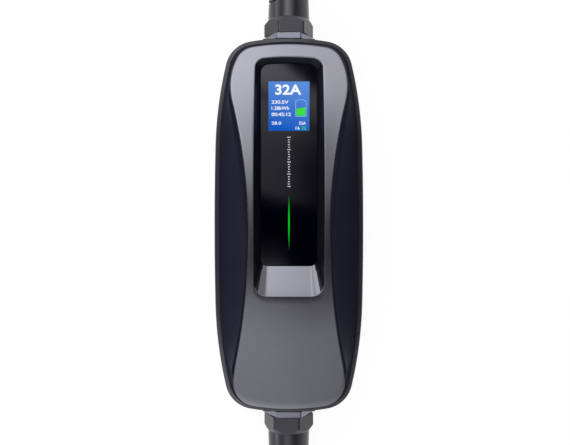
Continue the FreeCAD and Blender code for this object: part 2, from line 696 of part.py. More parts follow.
def case_screws():
    """Four long screws driven from the back, sunk in their wells."""
    length = POST_HEIGHT - WELL_DEPTH + CASE_SCREW_GRIP
    return [rod(CASE_SCREW_RADIUS, x, y, WELL_DEPTH, length).fuse(
        rod(CASE_SCREW_HEAD_RADIUS, x, y, WELL_DEPTH - CASE_SCREW_HEAD, CASE_SCREW_HEAD))
        for x, y in case_screw_places()]


def lid_seal():
    """Seal strip that lies on the rear shell's step under the lid."""
    return ring("case", -WALL + SEAL_WIDTH - FIT_GAP, -WALL + FIT_GAP, PARTING_HEIGHT - SEAL_STEP, SEAL_STEP)


def main_board():
    """Power and control board, notched round the screw posts."""
    size = (2 * MAIN_BOARD_HALF_WIDTH, 2 * MAIN_BOARD_HALF_LENGTH, BOARD_THICKNESS)
    board = block(size, 0, 0, MAIN_BOARD_HEIGHT)
    below, through = MAIN_BOARD_HEIGHT - CUT, BOARD_THICKNESS + 2 * CUT
    notches = [rod(POST_RADIUS + POST_CLEARANCE, x, y, below, through) for x, y in case_screw_places()]
    return board.cut(notches + [block((PEG + 2 * FIT_GAP, PEG + 2 * FIT_GAP, through), x, y, below)
                                for x, y in board_peg_places()])


def on_board(shape):
    """Lift a component that was made at height zero on to the main board."""
    shape.translate(Vector(0, 0, MAIN_BOARD_HEIGHT + BOARD_THICKNESS))
    return shape


def bevelled_box(size, x, y, z, bevel):
    """Box with its top edges bevelled."""
    made = block(size, x, y, z)
    return made.makeChamfer(bevel, edges_at(made, z + size[2]))


def relay(side):
    """Sealed power relay: a cover on a wider base."""
    length, width, height = RELAY
    base = block((length, width, RELAY_BASE), side * RELAY_X, RELAY_Y, 0)
    size = (length - 2 * RELAY_BASE_EDGE, width - 2 * RELAY_BASE_EDGE, height - RELAY_BASE)
    cover = bevelled_box(size, side * RELAY_X, RELAY_Y, RELAY_BASE, CASE_BEVEL)
    return on_board(base.fuse(cover))


def terminal_block(poles, y, facing):
    """Spring terminal: a square wire mouth and a release slot for each pole."""
    width = poles * TERMINAL_PITCH + 2 * TERMINAL_WALL
    made = bevelled_box((width, TERMINAL_DEPTH, TERMINAL_HEIGHT), 0, y, 0, CASE_BEVEL)
    mouth = (TERMINAL_MOUTH, 2 * TERMINAL_MOUTH_DEPTH, TERMINAL_MOUTH)
    slot = (TERMINAL_MOUTH, TERMINAL_SLOT, TERMINAL_HEIGHT)
    cutters = []
    for i in range(poles):
        x = (i - (poles - 1) / 2) * TERMINAL_PITCH
        cutters.append(block(mouth, x, y + facing * TERMINAL_DEPTH / 2, TERMINAL_MOUTH_Z))
        cutters.append(block(slot, x, y - facing * TERMINAL_SLOT_Y, TERMINAL_HEIGHT - TERMINAL_SLOT_DEPTH))
    return on_board(made.cut(cutters))


def leakage_sensor():
    """Ring core in a moulded case, standing on a foot, with the two links through it."""
    centre = SENSOR_BASE + SENSOR_RADIUS
    start = Vector(0, SENSOR_Y - SENSOR_THICKNESS / 2, centre)
    body = Part.makeCylinder(SENSOR_RADIUS, SENSOR_THICKNESS, start, Vector(0, 1, 0))
    foot = block((SENSOR_FOOT, SENSOR_THICKNESS, SENSOR_RADIUS), 0, SENSOR_Y, 0)
    bore = Part.makeCylinder(SENSOR_BORE, SENSOR_THICKNESS + 2 * CUT, start - Vector(0, CUT, 0),
                             Vector(0, 1, 0))
    return on_board(body.fuse(foot).cut(bore).removeSplitter())


def power_link(side):
    """Flat copper bridge that rises from the board, passes the sensor and drops again."""
    width, thickness = LINK
    top = SENSOR_BASE + SENSOR_RADIUS + thickness / 2
    bar = block((width, 2 * LINK_REACH, top), side * LINK_X, SENSOR_Y, 0)
    bar = bar.makeFillet(LINK_BEND, [e for e in edges_at(bar, top) if e.BoundBox.XLength > thickness])
    inside = block((width, 2 * LINK_REACH - 2 * thickness, top - thickness), side * LINK_X, SENSOR_Y, 0)
    return on_board(bar.cut(inside))


def power_module():
    """Potted supply that feeds the electronics."""
    return on_board(bevelled_box(POWER_MODULE, POWER_MODULE_X, POWER_MODULE_Y, 0, POWER_MODULE_BEVEL))


def filter_capacitor():
    """Box capacitor across the mains."""
    return on_board(bevelled_box(FILTER_CAPACITOR, FILTER_CAPACITOR_X, FILTER_CAPACITOR_Y, 0, CASE_BEVEL))


def surge_varistor():
    """Round disc that stands on edge."""
    start = Vector(FILTER_CAPACITOR_X, VARISTOR_Y - VARISTOR_THICKNESS / 2, VARISTOR_RADIUS)
    return on_board(Part.makeCylinder(VARISTOR_RADIUS, VARISTOR_THICKNESS, start, Vector(0, 1, 0)))


def reservoir_capacitor():
    """Upright can."""
    return on_board(rod(RESERVOIR_RADIUS, FILTER_CAPACITOR_X, RESERVOIR_Y, 0, RESERVOIR_HEIGHT))


def buzzer():
    """Round sounder with a hole in its top."""
    can = rod(BUZZER_RADIUS, BUZZER_X, CHIP_ROW_Y, 0, BUZZER_HEIGHT)
    hole = rod(BUZZER_HOLE_RADIUS, BUZZER_X, CHIP_ROW_Y, BUZZER_HEIGHT - BUZZER_HOLE_DEPTH, BUZZER_HEIGHT)
    return on_board(can.cut(hole))


def control_chip(name):
    """Flat packaged circuit with a row of leads down two sides."""
    length, width, height, x = CHIPS[name]
    body = bevelled_box((length, width, height), x, CHIP_ROW_Y, 0, CHIP_BEVEL)
    out, thick, high = CHIP_LEAD
    leads = []
    count = int(width // CHIP_LEAD_PITCH)
    for i in range(count):
        y = CHIP_ROW_Y + (i - (count - 1) / 2) * CHIP_LEAD_PITCH
        leads.append(block((length + 2 * out, thick, high), x, y, 0))
    return on_board(body.fuse(leads))


def header(z):
    """Ribbon connector shell."""
    return bevelled_box(HEADER, 0, HEADER_Y, z, HEADER_BEVEL)


def board_header():
    """Ribbon connector on the main board."""
    return header(MAIN_BOARD_HEIGHT + BOARD_THICKNESS)


def display_header():
    """Ribbon connector under the display board."""
    made = header(0)
    made.rotate(Vector(0, HEADER_Y, HEADER[2] / 2), Vector(1, 0, 0), 180)
    made.translate(Vector(0, RIBBON_SHIFT, display_board_z() - HEADER[2]))
    return made


def display_ribbon():
    """Flat cable between the two connectors, an upright S."""
    low = MAIN_BOARD_HEIGHT + BOARD_THICKNESS + HEADER[2]
    high = display_board_z() - HEADER[2]
    middle = (low + high) / 2
    half = (high - low) / 2
    radius = (half ** 2 + (RIBBON_SHIFT / 2) ** 2) / RIBBON_SHIFT
    bow = radius - math.sqrt(radius ** 2 - (half / 2) ** 2)
    y = HEADER_Y
    arcs = [Part.Arc(Vector(0, y, low), Vector(0, y + bow, low + half / 2),
                     Vector(0, y + RIBBON_SHIFT / 2, middle)).toShape(),
            Part.Arc(Vector(0, y + RIBBON_SHIFT / 2, middle),
                     Vector(0, y + RIBBON_SHIFT - bow, high - half / 2),
                     Vector(0, y + RIBBON_SHIFT, high)).toShape()]
    left = RIBBON_WIDTH / 2
    thick = RIBBON_THICKNESS / 2
    corners = [Vector(-left, y - thick, low), Vector(left, y - thick, low), Vector(left, y + thick, low),
               Vector(-left, y + thick, low)]
    profile = Part.makePolygon(corners + corners[:1])
    return Part.Wire(arcs).makePipeShell([profile], True, False)


def gland_gasket():
    """Flat ring between the case and the gland's flange."""
    return disc_y(GLAND_GASKET_RADIUS, GLAND_PAD_Y, GLAND_GASKET).cut(
        disc_y(GLAND_HOLE_RADIUS, GLAND_PAD_Y - CUT, GLAND_GASKET + 2 * CUT))


def flange_y():
    """Outer face of the gland body's hexagonal flange."""
    return GLAND_PAD_Y + GLAND_GASKET + GLAND_FLANGE


def gland_body():
    """Metal body: thread into the case, hexagonal flange and threaded neck."""
    start = GLAND_PAD_Y + GLAND_GASKET
    flange = hexagon_y(GLAND_BODY_FLATS, start, GLAND_FLANGE)
    stem = disc_y(GLAND_THREAD_RADIUS, start - GLAND_THREAD_LENGTH, GLAND_THREAD_LENGTH)
    neck = disc_y(GLAND_NECK_RADIUS, flange_y(), GLAND_NECK_LENGTH)
    length = GLAND_THREAD_LENGTH + GLAND_FLANGE + GLAND_NECK_LENGTH
    bore = disc_y(GLAND_BORE_RADIUS, start - GLAND_THREAD_LENGTH - CUT, length + 2 * CUT)
    seat = disc_y(CABLE_BORE_RADIUS + INSERT_WALL + FIT_GAP, flange_y() - GLAND_SHOULDER,
                  GLAND_SHOULDER + GLAND_NECK_LENGTH + CUT)
    return flange.fuse([stem, neck]).cut([bore, seat])


def gland_locknut():
    """Nut that clamps the gland body from inside the case."""
    face = GLAND_PAD_Y - GLAND_PAD_THICKNESS
    nut = hexagon_y(LOCKNUT_FLATS, face - LOCKNUT_THICKNESS, LOCKNUT_THICKNESS)
    return nut.cut(disc_y(GLAND_THREAD_RADIUS + FIT_GAP, face - LOCKNUT_THICKNESS - CUT,
                          LOCKNUT_THICKNESS + 2 * CUT))


def gland_seal():
    """Rubber sleeve that grips the lead, its outer end bevelled to the nut's cone."""
    start = flange_y() - GLAND_SHOULDER
    outer = CABLE_BORE_RADIUS + INSERT_WALL
    return turned_y([(CABLE_BORE_RADIUS, start), (outer, start), (outer, insert_end() - INSERT_BEVEL),
                     (outer - INSERT_BEVEL, insert_end()), (CABLE_BORE_RADIUS, insert_end())])


def insert_end():
    """Outer end of the rubber sleeve."""
    return flange_y() - GLAND_SHOULDER + INSERT_LENGTH


def spiral_slot(index, start_y):
    """Half a turn of the boot's spiral: a slot ramped on the nut's side, about a tilted axis."""
    inner = BOOT_BORE_RADIUS - CUT
    outer = BOOT_ROOT_RADIUS + CUT
    profile = [Vector(inner, -SPIRAL_SLOT / 2, 0), Vector(outer, -SPIRAL_MOUTH, 0),
               Vector(outer, SPIRAL_SLOT / 2, 0), Vector(inner, SPIRAL_SLOT / 2, 0)]
    face = Part.Face(Part.makePolygon(profile + profile[:1]))
    face.rotate(Vector(0, 0, 0), Vector(0, 1, 0), -SPIRAL_MEET_DEG)
    groove = face.revolve(Vector(0, 0, 0), Vector(0, 1, 0), 180 + 2 * SPIRAL_MEET_DEG)
    lean = math.degrees(math.atan(SPIRAL_PITCH / 4 / BOOT_ROOT_RADIUS))
    groove.rotate(Vector(0, 0, 0), Vector(0, 0, 1), -lean)
    groove.rotate(Vector(0, 0, 0), Vector(0, 1, 0), 180 * index)
    groove.translate(Vector(0, start_y + (index + 0.5) * SPIRAL_PITCH / 2, GLAND_HEIGHT))
    return groove


def gland_nut():
    """Hexagonal nut in one piece with its slotted bend protector."""
    start = flange_y() + NUT_GAP
    top = start + NUT_HEIGHT
    tip = top + BOOT_LENGTH
    corner = NUT_FLATS / math.sqrt(3)
    bevel = (corner + CUT - BOOT_ROOT_RADIUS) * NUT_BEVEL_SLOPE
    bar = hexagon_y(NUT_FLATS, start, NUT_HEIGHT)
    bar.rotate(Vector(0, 0, GLAND_HEIGHT), Vector(0, 1, 0), NUT_TURN_DEG)
    cone = turned_y([(0, start), (corner + CUT, start), (corner + CUT, top - bevel), (BOOT_ROOT_RADIUS, top),
                     (0, top)])
    boot = turned_y([(0, top - CUT), (BOOT_ROOT_RADIUS, top - CUT), (BOOT_ROOT_RADIUS, top),
                     (BOOT_TIP_RADIUS, tip - BOOT_TIP_BEVEL), (BOOT_TIP_RADIUS - BOOT_TIP_BEVEL, tip), (0, tip)])
    thread = GLAND_NECK_RADIUS + FIT_GAP
    sleeve = CABLE_BORE_RADIUS + INSERT_WALL + FIT_GAP
    neck_end = flange_y() + GLAND_NECK_LENGTH + NUT_GAP
    hollow = turned_y([(0, start - CUT), (thread, start - CUT), (thread, neck_end), (sleeve, neck_end),
                       (sleeve, insert_end() + BOOT_BORE_RADIUS - sleeve + FIT_GAP),
                       (BOOT_BORE_RADIUS, insert_end() + FIT_GAP), (BOOT_BORE_RADIUS, tip + CUT),
                       (0, tip + CUT)])
    slots = [spiral_slot(i, top + SPIRAL_START) for i in range(SPIRAL_HALF_TURNS)]
    return bar.common(cone).fuse(boot).cut([hollow] + slots)


SINGLE_PIECES = {
    "rear_shell": rear_shell,
    "front_shell": front_shell,
    "fascia": fascia,
    "display_window": display_window,
    "lcd_panel": lcd_panel,
    "lcd_backlight": lcd_backlight,
    "display_board": display_board,
    "light_guide": light_guide,
    "lid_seal": lid_seal,
    "main_board": main_board,
    "leakage_sensor": leakage_sensor,
    "power_module": power_module,
    "filter_capacitor": filter_capacitor,
    "surge_varistor": surge_varistor,
    "reservoir_capacitor": reservoir_capacitor,
    "buzzer": buzzer,
    "board_header": board_header,
    "display_header": display_header,
    "display_ribbon": display_ribbon,
}

GROUPS = {
    "case_screws": case_screws,
    "status_leds": status_leds,
}

GLAND_PIECES = {
    "gland_gasket": gland_gasket,
    "gland_body": gland_body,
    "gland_locknut": gland_locknut,
    "gland_seal": gland_seal,
    "gland_nut": gland_nut,
}


def all_pieces():
    """Every node's name and shape."""
    pieces = {name: make() for name, make in SINGLE_PIECES.items()}
    for name, make in GROUPS.items():
        pieces[name] = Part.makeCompound(make())
    for side, name in ((-1, "line"), (1, "neutral")):
        pieces[name + "_relay"] = relay(side)
        pieces[name + "_link"] = power_link(side)
    for name in CHIPS:
        pieces[name] = control_chip(name)
    pieces["supply_terminal"] = terminal_block(SUPPLY_POLES, TERMINAL_Y, 1)
    pieces["vehicle_terminal"] = terminal_block(VEHICLE_POLES, -TERMINAL_Y, -1)
    for name, make in GLAND_PIECES.items():
        piece = make()
        pieces["supply_" + name] = piece
        pieces["vehicle_" + name] = half_turn(piece)
    return pieces


def main():
    """Write one file for each node."""
    os.makedirs("parts", exist_ok=True)
    for name, shape in all_pieces().items():
        shape.exportStep(os.path.join("parts", name + ".step"))


main()
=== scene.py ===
"""Looks of the control box of a portable electric vehicle charger.

The box lies on its back. +Z points out of its grey front, +Y runs towards the supply gland
and -Y towards the vehicle gland. Sizes of the box are millimetres. The meshes made from them,
the floor and the camera are metres.
"""
import json
import logging
import math
from dataclasses import dataclass
from enum import Enum
from functools import cache

import bmesh
import bpy
from bpy.types import Material, Mesh, Node, NodeSocket, NodeTree, Object
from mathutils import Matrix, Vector


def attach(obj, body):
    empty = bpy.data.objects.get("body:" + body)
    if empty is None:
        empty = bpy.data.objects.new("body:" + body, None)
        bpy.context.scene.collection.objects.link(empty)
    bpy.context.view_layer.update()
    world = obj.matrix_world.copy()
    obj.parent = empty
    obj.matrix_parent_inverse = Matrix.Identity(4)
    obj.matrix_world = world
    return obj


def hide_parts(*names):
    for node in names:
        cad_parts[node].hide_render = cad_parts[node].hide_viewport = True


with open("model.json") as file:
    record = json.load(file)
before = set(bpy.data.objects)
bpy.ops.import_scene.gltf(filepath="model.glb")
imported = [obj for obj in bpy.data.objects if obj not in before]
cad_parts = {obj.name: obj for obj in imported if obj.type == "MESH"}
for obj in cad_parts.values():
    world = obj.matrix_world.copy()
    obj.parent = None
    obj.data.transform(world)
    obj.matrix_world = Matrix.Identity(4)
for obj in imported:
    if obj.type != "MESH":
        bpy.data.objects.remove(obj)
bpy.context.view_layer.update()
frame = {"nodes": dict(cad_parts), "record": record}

MM = 0.001
ROOT = "root"
LOG = logging.getLogger("charger")

# Point and Loop are in plan, Spot and Ring have heights, Counts are steps along a quarter outline
Point = tuple[float, float]
Loop = list[Point]
Spot = tuple[float, float, float]
Ring = list[Spot]
Counts = tuple[int, ...]
Pairs = tuple[Point, ...]


def linear(hex_colour: str) -> tuple[float, float, float, float]:
    """Turn an sRGB hex colour into linear red, green, blue and alpha.

    Args:
        hex_colour: six hex digits, with or without a leading hash.

    Returns:
        Four numbers from 0 to 1, the last one 1.
    """
    digits = hex_colour.lstrip("#")
    parts = [int(digits[i:i + 2], 16) / 255 for i in (0, 2, 4)]
    made = [p / 12.92 if p <= 0.04045 else ((p + 0.055) / 1.055) ** 2.4 for p in parts]
    return (made[0], made[1], made[2], 1.0)


def add_node(tree: NodeTree, kind: str, settings: dict | None = None, links: dict | None = None) -> Node:
    """Add a node with its settings and incoming links.

    Args:
        tree: the node tree that gets the node.
        kind: Blender's name for the node type, without ShaderNode before it.
        settings: values of sockets, by name or number, and of properties, whose names start with a dot.
        links: what feeds an input, by its name or number: an output, or a node for its first output.

    Returns:
        The new node.
    """
    node = tree.nodes.new("ShaderNode" + kind)
    for key, value in (settings or {}).items():
        if isinstance(key, str) and key.startswith("."):
            setattr(node, key[1:], value)
        else:
            node.inputs[key].default_value = value
    for key, source in (links or {}).items():
        output = source.outputs[0] if isinstance(source, Node) else source
        tree.links.new(output, node.inputs[key])
    return node


def new_material(name: str) -> Material:
    """Make a material whose node tree is empty.

    Args:
        name: the material's name.

    Returns:
        The material.
    """
    material = bpy.data.materials.new(name)
    material.use_nodes = True
    material.node_tree.nodes.clear()
    return material


def per_metre(spacing_mm: float) -> float:
    """Noise scale that gives features about this far apart."""
    return 1 / (spacing_mm * MM)


class Grain(Enum):
    """Texture of a skin: spacing and depth in millimetres.

    The real grain is about 0.1 mm across. It is drawn 0.4 mm and more across, so that it still
    shows where a pixel is 0.7 mm.
    """

    SPARK = (0.45, 0.008)
    LACQUER = (0.8, 0.003)
    POLISHED = (9.0, 0.002)
    ROLLED = (0.5, 0.003)


@dataclass(frozen=True)
class Skin:
    """A moulded, coated or plated skin: two close tones in slow clouds, a grain and uneven gloss."""

    name: str
    colour: str
    second: str
    roughness: float
    swing: float = 0.05
    metallic: float = 0.0
    ior: float = 1.5
    specular: float = 0.5
    grain: Grain = Grain.SPARK
    cloud_mm: float = 35.0
    cloud_band: Point = (0.35, 0.65)
    grit_band: Point = (0.3, 0.7)
    bump: float = 0.4

    def build(self) -> Material:
        """Make the material.

        Returns:
            The material, whose patterns keep to the box.
        """
        material = new_material(self.name)
        tree = material.node_tree
        spacing, depth = self.grain.value
        place = add_node(tree, "TexCoord").outputs["Object"]
        cloud = add_node(tree, "TexNoise", {"Scale": per_metre(self.cloud_mm), "Detail": 3.0},
                         {"Vector": place})
        grit = add_node(tree, "TexNoise", {"Scale": per_metre(spacing), "Detail": 2.0}, {"Vector": place})
        share = add_node(tree, "MapRange",
                         {"From Min": self.cloud_band[0], "From Max": self.cloud_band[1]}, {"Value": cloud})
        tone = add_node(tree, "Mix",
                        {".data_type": "RGBA", 6: linear(self.colour), 7: linear(self.second)}, {0: share})
        gloss = add_node(tree, "MapRange",
                         {"From Min": self.grit_band[0], "From Max": self.grit_band[1],
                          "To Min": self.roughness - self.swing, "To Max": self.roughness + self.swing},
                         {"Value": grit})
        bump = add_node(tree, "Bump", {"Strength": self.bump, "Distance": depth * MM}, {"Height": grit})
        shader = add_node(tree, "BsdfPrincipled",
                          {"Metallic": self.metallic, "IOR": self.ior, "Specular IOR Level": self.specular},
                          {"Base Color": tone.outputs[2], "Roughness": gloss, "Normal": bump})
        add_node(tree, "OutputMaterial", links={"Surface": shader})
        return material


@dataclass(frozen=True)
class Metal(Skin):
    """A bare or plated metal with the marks of how it was worked."""

    metallic: float = 1.0
    grain: Grain = Grain.ROLLED


# Spark-textured black ABS: a soft satin black with a slight blue cast
BLACK_ABS = Skin("black_abs_spark_moulded", "#12121c", "#15151f", 0.26, 0.04)
# The same ABS with the matt texture of the lid's flanks: a dark face almost without a highlight
MATT_ABS = Skin("black_abs_matt_textured", "#171724", "#1a1a27", 0.42, 0.04, specular=0.03)
# Painted shade on the recess's side walls: the grey lacquer drawn near black and matt there, where the
# walls stand in shade
RECESS_WALL_SHADE = Skin("recess_wall_painted_shade", "#09090f", "#0b0b12", 0.36, 0.04, specular=0.25)
# Gunmetal metallic lacquer on ABS: reflects the room darkly and softly, with fine flake
GUNMETAL = Skin("gunmetal_lacquer_sprayed", "#6e6e71", "#6b6b6e", 0.175, 0.02, metallic=1.0,
                grain=Grain.LACQUER)
# Cast acrylic sheet printed black behind: deep black with a clean mirror sheen
BLACK_ACRYLIC = Skin("black_acrylic_cast", "#010108", "#01010a", 0.06, 0.01, ior=1.49,
                     grain=Grain.POLISHED)
# Glass-filled black nylon: greyer and a little glossier than the ABS
BLACK_NYLON = Skin("black_nylon_moulded", "#15151d", "#12121a", 0.22, specular=0.6)
# Bright nickel over turned brass: a clear metal shine, broken by faint turning marks
NICKEL = Metal("nickel_plated_turned", "#808088", "#7a7a82", 0.22)
# Nitrile rubber, pressed: dull black without a highlight
RUBBER = Skin("nitrile_rubber_pressed", "#151516", "#19191a", 0.7)
# Zinc plate over cold-headed steel: a pale, slightly blue shine
ZINC = Metal("zinc_plated_steel", "#a9abb2", "#9ea0a8", 0.35)
# Polyester parts inside the box, left in their natural white: soft and even
WHITE_PLASTIC = Skin("white_polyester_moulded", "#d8d8d2", "#cfcfca", 0.5)
# Lacquer over the copper of the boards: a wet dark green
GREEN_MASK = Skin("solder_mask_green", "#0f4a2a", "#0d4225", 0.35)
# Punched copper, slightly tarnished: a warm shine
COPPER = Metal("copper_punched", "#c67a4e", "#bb6f45", 0.35)
# Epoxy moulding compound of relays and chips: dull dark grey
BLACK_EPOXY = Skin("black_epoxy_moulded", "#1c1c1e", "#202022", 0.55)
# Dipped epoxy coat of the varistor: glossy blue
BLUE_EPOXY = Skin("blue_epoxy_dipped", "#1c3f86", "#1a3a7c", 0.3)
# Flame-proof polyamide of the terminals: half-matt grey green
GREY_POLYAMIDE = Skin("grey_polyamide_moulded", "#7b837f", "#747c78", 0.5)
# Drawn can of the reservoir capacitor: bright satin metal
ALUMINIUM = Metal("aluminium_drawn", "#b4b6ba", "#aaacb0", 0.35)
# Acrylic light guide, unlit: smooth pale green
CLEAR_GREEN = Skin("acrylic_light_guide_moulded", "#3f9a4a", "#3c9446", 0.2)
# Glass of the display module below its picture: smooth and nearly black
DISPLAY_GLASS = Skin("display_glass_drawn", "#10151c", "#12171e", 0.1)
# White ink of the scale, screen printed on the window: opaque and half-matt
WHITE_INK = Skin("white_ink_screen_printed", "#f2f3f6", "#eceef2", 0.45, grain=Grain.ROLLED)

SLOT_SKINS = {
    "black_abs": BLACK_ABS, "grey_abs": GUNMETAL, "black_acrylic": BLACK_ACRYLIC,
    "black_nylon": BLACK_NYLON, "nickel_brass": NICKEL, "rubber": RUBBER, "clear_plastic": CLEAR_GREEN,
    "display_glass": DISPLAY_GLASS, "white_plastic": WHITE_PLASTIC, "board_green": GREEN_MASK,
    "steel": ZINC, "copper": COPPER, "component_black": BLACK_EPOXY, "component_blue": BLUE_EPOXY,
    "terminal_grey": GREY_POLYAMIDE, "can_aluminium": ALUMINIUM,
}


@dataclass(frozen=True)
class Glow:
    """A lit surface behind gloss: its colour runs from a low end to a high end along the box."""

    name: str
    low: str
    high: str
    low_y_mm: float = 62.0
    high_y_mm: float = 98.0
    strength: float = 1.0
    middle: str = ""
    lean: float = 0.0
    unlit: str = "#020203"
    sheen: float = 0.05

    def build(self) -> Material:
        """Make the material.

        Returns:
            The material, lit by itself.
        """
        material = new_material(self.name)
        tree = material.node_tree
        place = add_node(tree, "TexCoord").outputs["Object"]
        axes = add_node(tree, "SeparateXYZ", links={"Vector": place}).outputs
        along = add_node(tree, "Math", {".operation": "MULTIPLY_ADD", 1: self.lean},
                         {0: axes["X"], 2: axes["Y"]})
        share = add_node(tree, "MapRange",
                         {"From Min": self.low_y_mm * MM, "From Max": self.high_y_mm * MM},
                         {"Value": along})
        ramp = add_node(tree, "ValToRGB", links={"Fac": share})
        stops = ramp.color_ramp
        stops.interpolation = "B_SPLINE" if self.middle else "LINEAR"
        stops.elements[0].color = linear(self.low)
        stops.elements[1].color = linear(self.high)
        if self.middle:
            stops.elements.new(0.5).color = linear(self.middle)
        shader = add_node(tree, "BsdfPrincipled",
                          {"Base Color": linear(self.unlit), "Roughness": self.sheen,
                           "Specular IOR Level": self.sheen, "Emission Strength": self.strength},
                          {"Emission Color": ramp})
        add_node(tree, "OutputMaterial", links={"Surface": shader})
        return material


# Backlit colour display: deep blue at the foot, paler towards its upper right
LCD_BLUE = Glow("lcd_picture_backlit", "#0c58c0", "#5a8fdc", lean=0.3)
# Lit white figures of the display
LCD_WHITE = Glow("lcd_figures_white", "#eef3ff", "#f6f9ff")
# Pale blue outline of the battery sign
LCD_PALE = Glow("lcd_lines_pale", "#9dbbe6", "#aac6ee")
# Lit green figures and the battery's level
LCD_GREEN = Glow("lcd_figures_green", "#38d838", "#44e63c")
# Status light: bright in its middle, dying away towards both points
STATUS_GREEN = Glow("status_light_lit_green", "#000300", "#000300", -18.0, 21.0, 1.1, middle="#06f012")


def smooth_min(a: float, b: float, reach: float) -> float:
    """Lower of two heights, with the crease between them rounded.

    Args:
        a: first height.
        b: second height.
        reach: how far apart the heights are where the rounding ends.

    Returns:
        The rounded height.
    """
    share = max(reach - abs(a - b), 0.0) / reach
    return min(a, b) - share * share * reach / 4


def smooth_max(a: float, b: float, reach: float) -> float:
    """Higher of two heights, with the crease between them rounded."""
    return -smooth_min(-a, -b, reach)


def meeting(first: Point, reach_first: float, second: Point, reach_second: float) -> Point:
    """Point at given distances from two centres, on the outer side.

    Args:
        first: the first centre.
        reach_first: distance from the first centre.
        second: the second centre.
        reach_second: distance from the second centre.

    Returns:
        The point with the larger distance from the box's long axis.
    """
    dx, dy = second[0] - first[0], second[1] - first[1]
    gap = math.hypot(dx, dy)
    along = (reach_first ** 2 - reach_second ** 2 + gap ** 2) / (2 * gap)
    across = math.sqrt(reach_first ** 2 - along ** 2)
    foot = (first[0] + along * dx / gap, first[1] + along * dy / gap)
    return max((foot[0] + s * across * dy / gap, foot[1] - s * across * dx / gap) for s in (1, -1))


@dataclass(frozen=True)
class Arc:
    """Arc of a plan outline. Its sense is -1 where the outline is hollow."""

    x: float
    y: float
    radius: float
    start: float
    stop: float
    sense: int = 1

    def at(self, share: float, offset: float) -> Point:
        """Point on the arc.

        Args:
            share: share of the turn.
            offset: how far the point is moved outwards.

        Returns:
            The point in plan.
        """
        angle = self.start + (self.stop - self.start) * share
        reach = self.radius + self.sense * offset
        return (self.x + reach * math.cos(angle), self.y + reach * math.sin(angle))


@dataclass(frozen=True)
class Run:
    """Straight stretch of a plan outline, which already stands where it should."""

    start: Point
    stop: Point

    def at(self, share: float, offset: float) -> Point:
        """Point at a share of the length, whatever the offset."""
        return (self.start[0] + (self.stop[0] - self.start[0]) * share,
                self.start[1] + (self.stop[1] - self.start[1]) * share)


def sampled(chain: list[Arc | Run], counts: Counts, offset: float) -> Loop:
    """Points along a quarter outline, both ends included.

    Args:
        chain: arcs and runs in order.
        counts: how many steps each of them gets.
        offset: outward offset in millimetres.

    Returns:
        One more point than there are steps.
    """
    points = [piece.at(i / n, offset) for piece, n in zip(chain, counts) for i in range(n)]
    return points + [chain[-1].at(1.0, offset)]


def whole_loop(upper: Loop, lower: Loop) -> Loop:
    """Mirror an upper and a lower quarter into a closed outline.

    Args:
        upper: points from the right side to the upper end.
        lower: points from the right side to the lower end, drawn as if it were the upper one.

    Returns:
        The outline, anticlockwise from the right side.
    """
    loop = upper[:-1]
    loop += [(-x, y) for x, y in reversed(upper[1:])]
    loop += [(-x, -y) for x, y in lower[:-1]]
    loop += [(x, -y) for x, y in reversed(lower[1:])]
    return loop


@dataclass(frozen=True)
class CasePlan:
    """Plan of the case in millimetres: each quarter is four tangent arcs."""

    half_width: float = 49.8
    half_length: float = 125.0
    side_radius: float = 2200.0
    side_run: float = 52.0
    flank_radius: float = 270.0
    corner_radius: float = 20.0
    end_radius: float = 150.0
    hair: float = 1e-9

    @cache
    def quarter(self) -> list[Arc]:
        """Solve the tangent arcs of a quarter, once.

        Returns:
            Arcs from the middle of a side to the middle of an end.
        """
        side_x = self.half_width - self.side_radius
        turn = math.asin(self.side_run / self.side_radius)
        reach = self.side_radius - self.flank_radius
        flank = (side_x + reach * math.cos(turn), reach * math.sin(turn))
        end = (0.0, self.half_length - self.end_radius)
        corner = meeting(end, self.end_radius - self.corner_radius,
                         flank, self.flank_radius - self.corner_radius)
        turns = [math.atan2(corner[1] - c[1], corner[0] - c[0]) for c in (flank, end)]
        return [Arc(side_x, 0.0, self.side_radius, 0.0, turn),
                Arc(*flank, self.flank_radius, turn, turns[0]),
                Arc(*corner, self.corner_radius, turns[0], turns[1]),
                Arc(*end, self.end_radius, turns[1], math.pi / 2)]

    def loop(self, offset: float, counts: Counts) -> Loop:
        """Closed outline, moved outwards by the offset."""
        points = sampled(self.quarter(), counts, offset)
        return whole_loop(points, points)

    def inset(self, x: float, y: float) -> float:
        """How far inside the outline a place near it lies.

        Args:
            x: place across the box.
            y: place along the box.

        Returns:
            The distance from the outline.
        """
        px, py = abs(x), abs(y)
        chain = self.quarter()
        ahead = [arc for arc in chain if math.atan2(py - arc.y, px - arc.x) <= arc.stop + self.hair]
        arc = ahead[0] if ahead else chain[-1]
        return arc.radius - math.hypot(px - arc.x, py - arc.y)


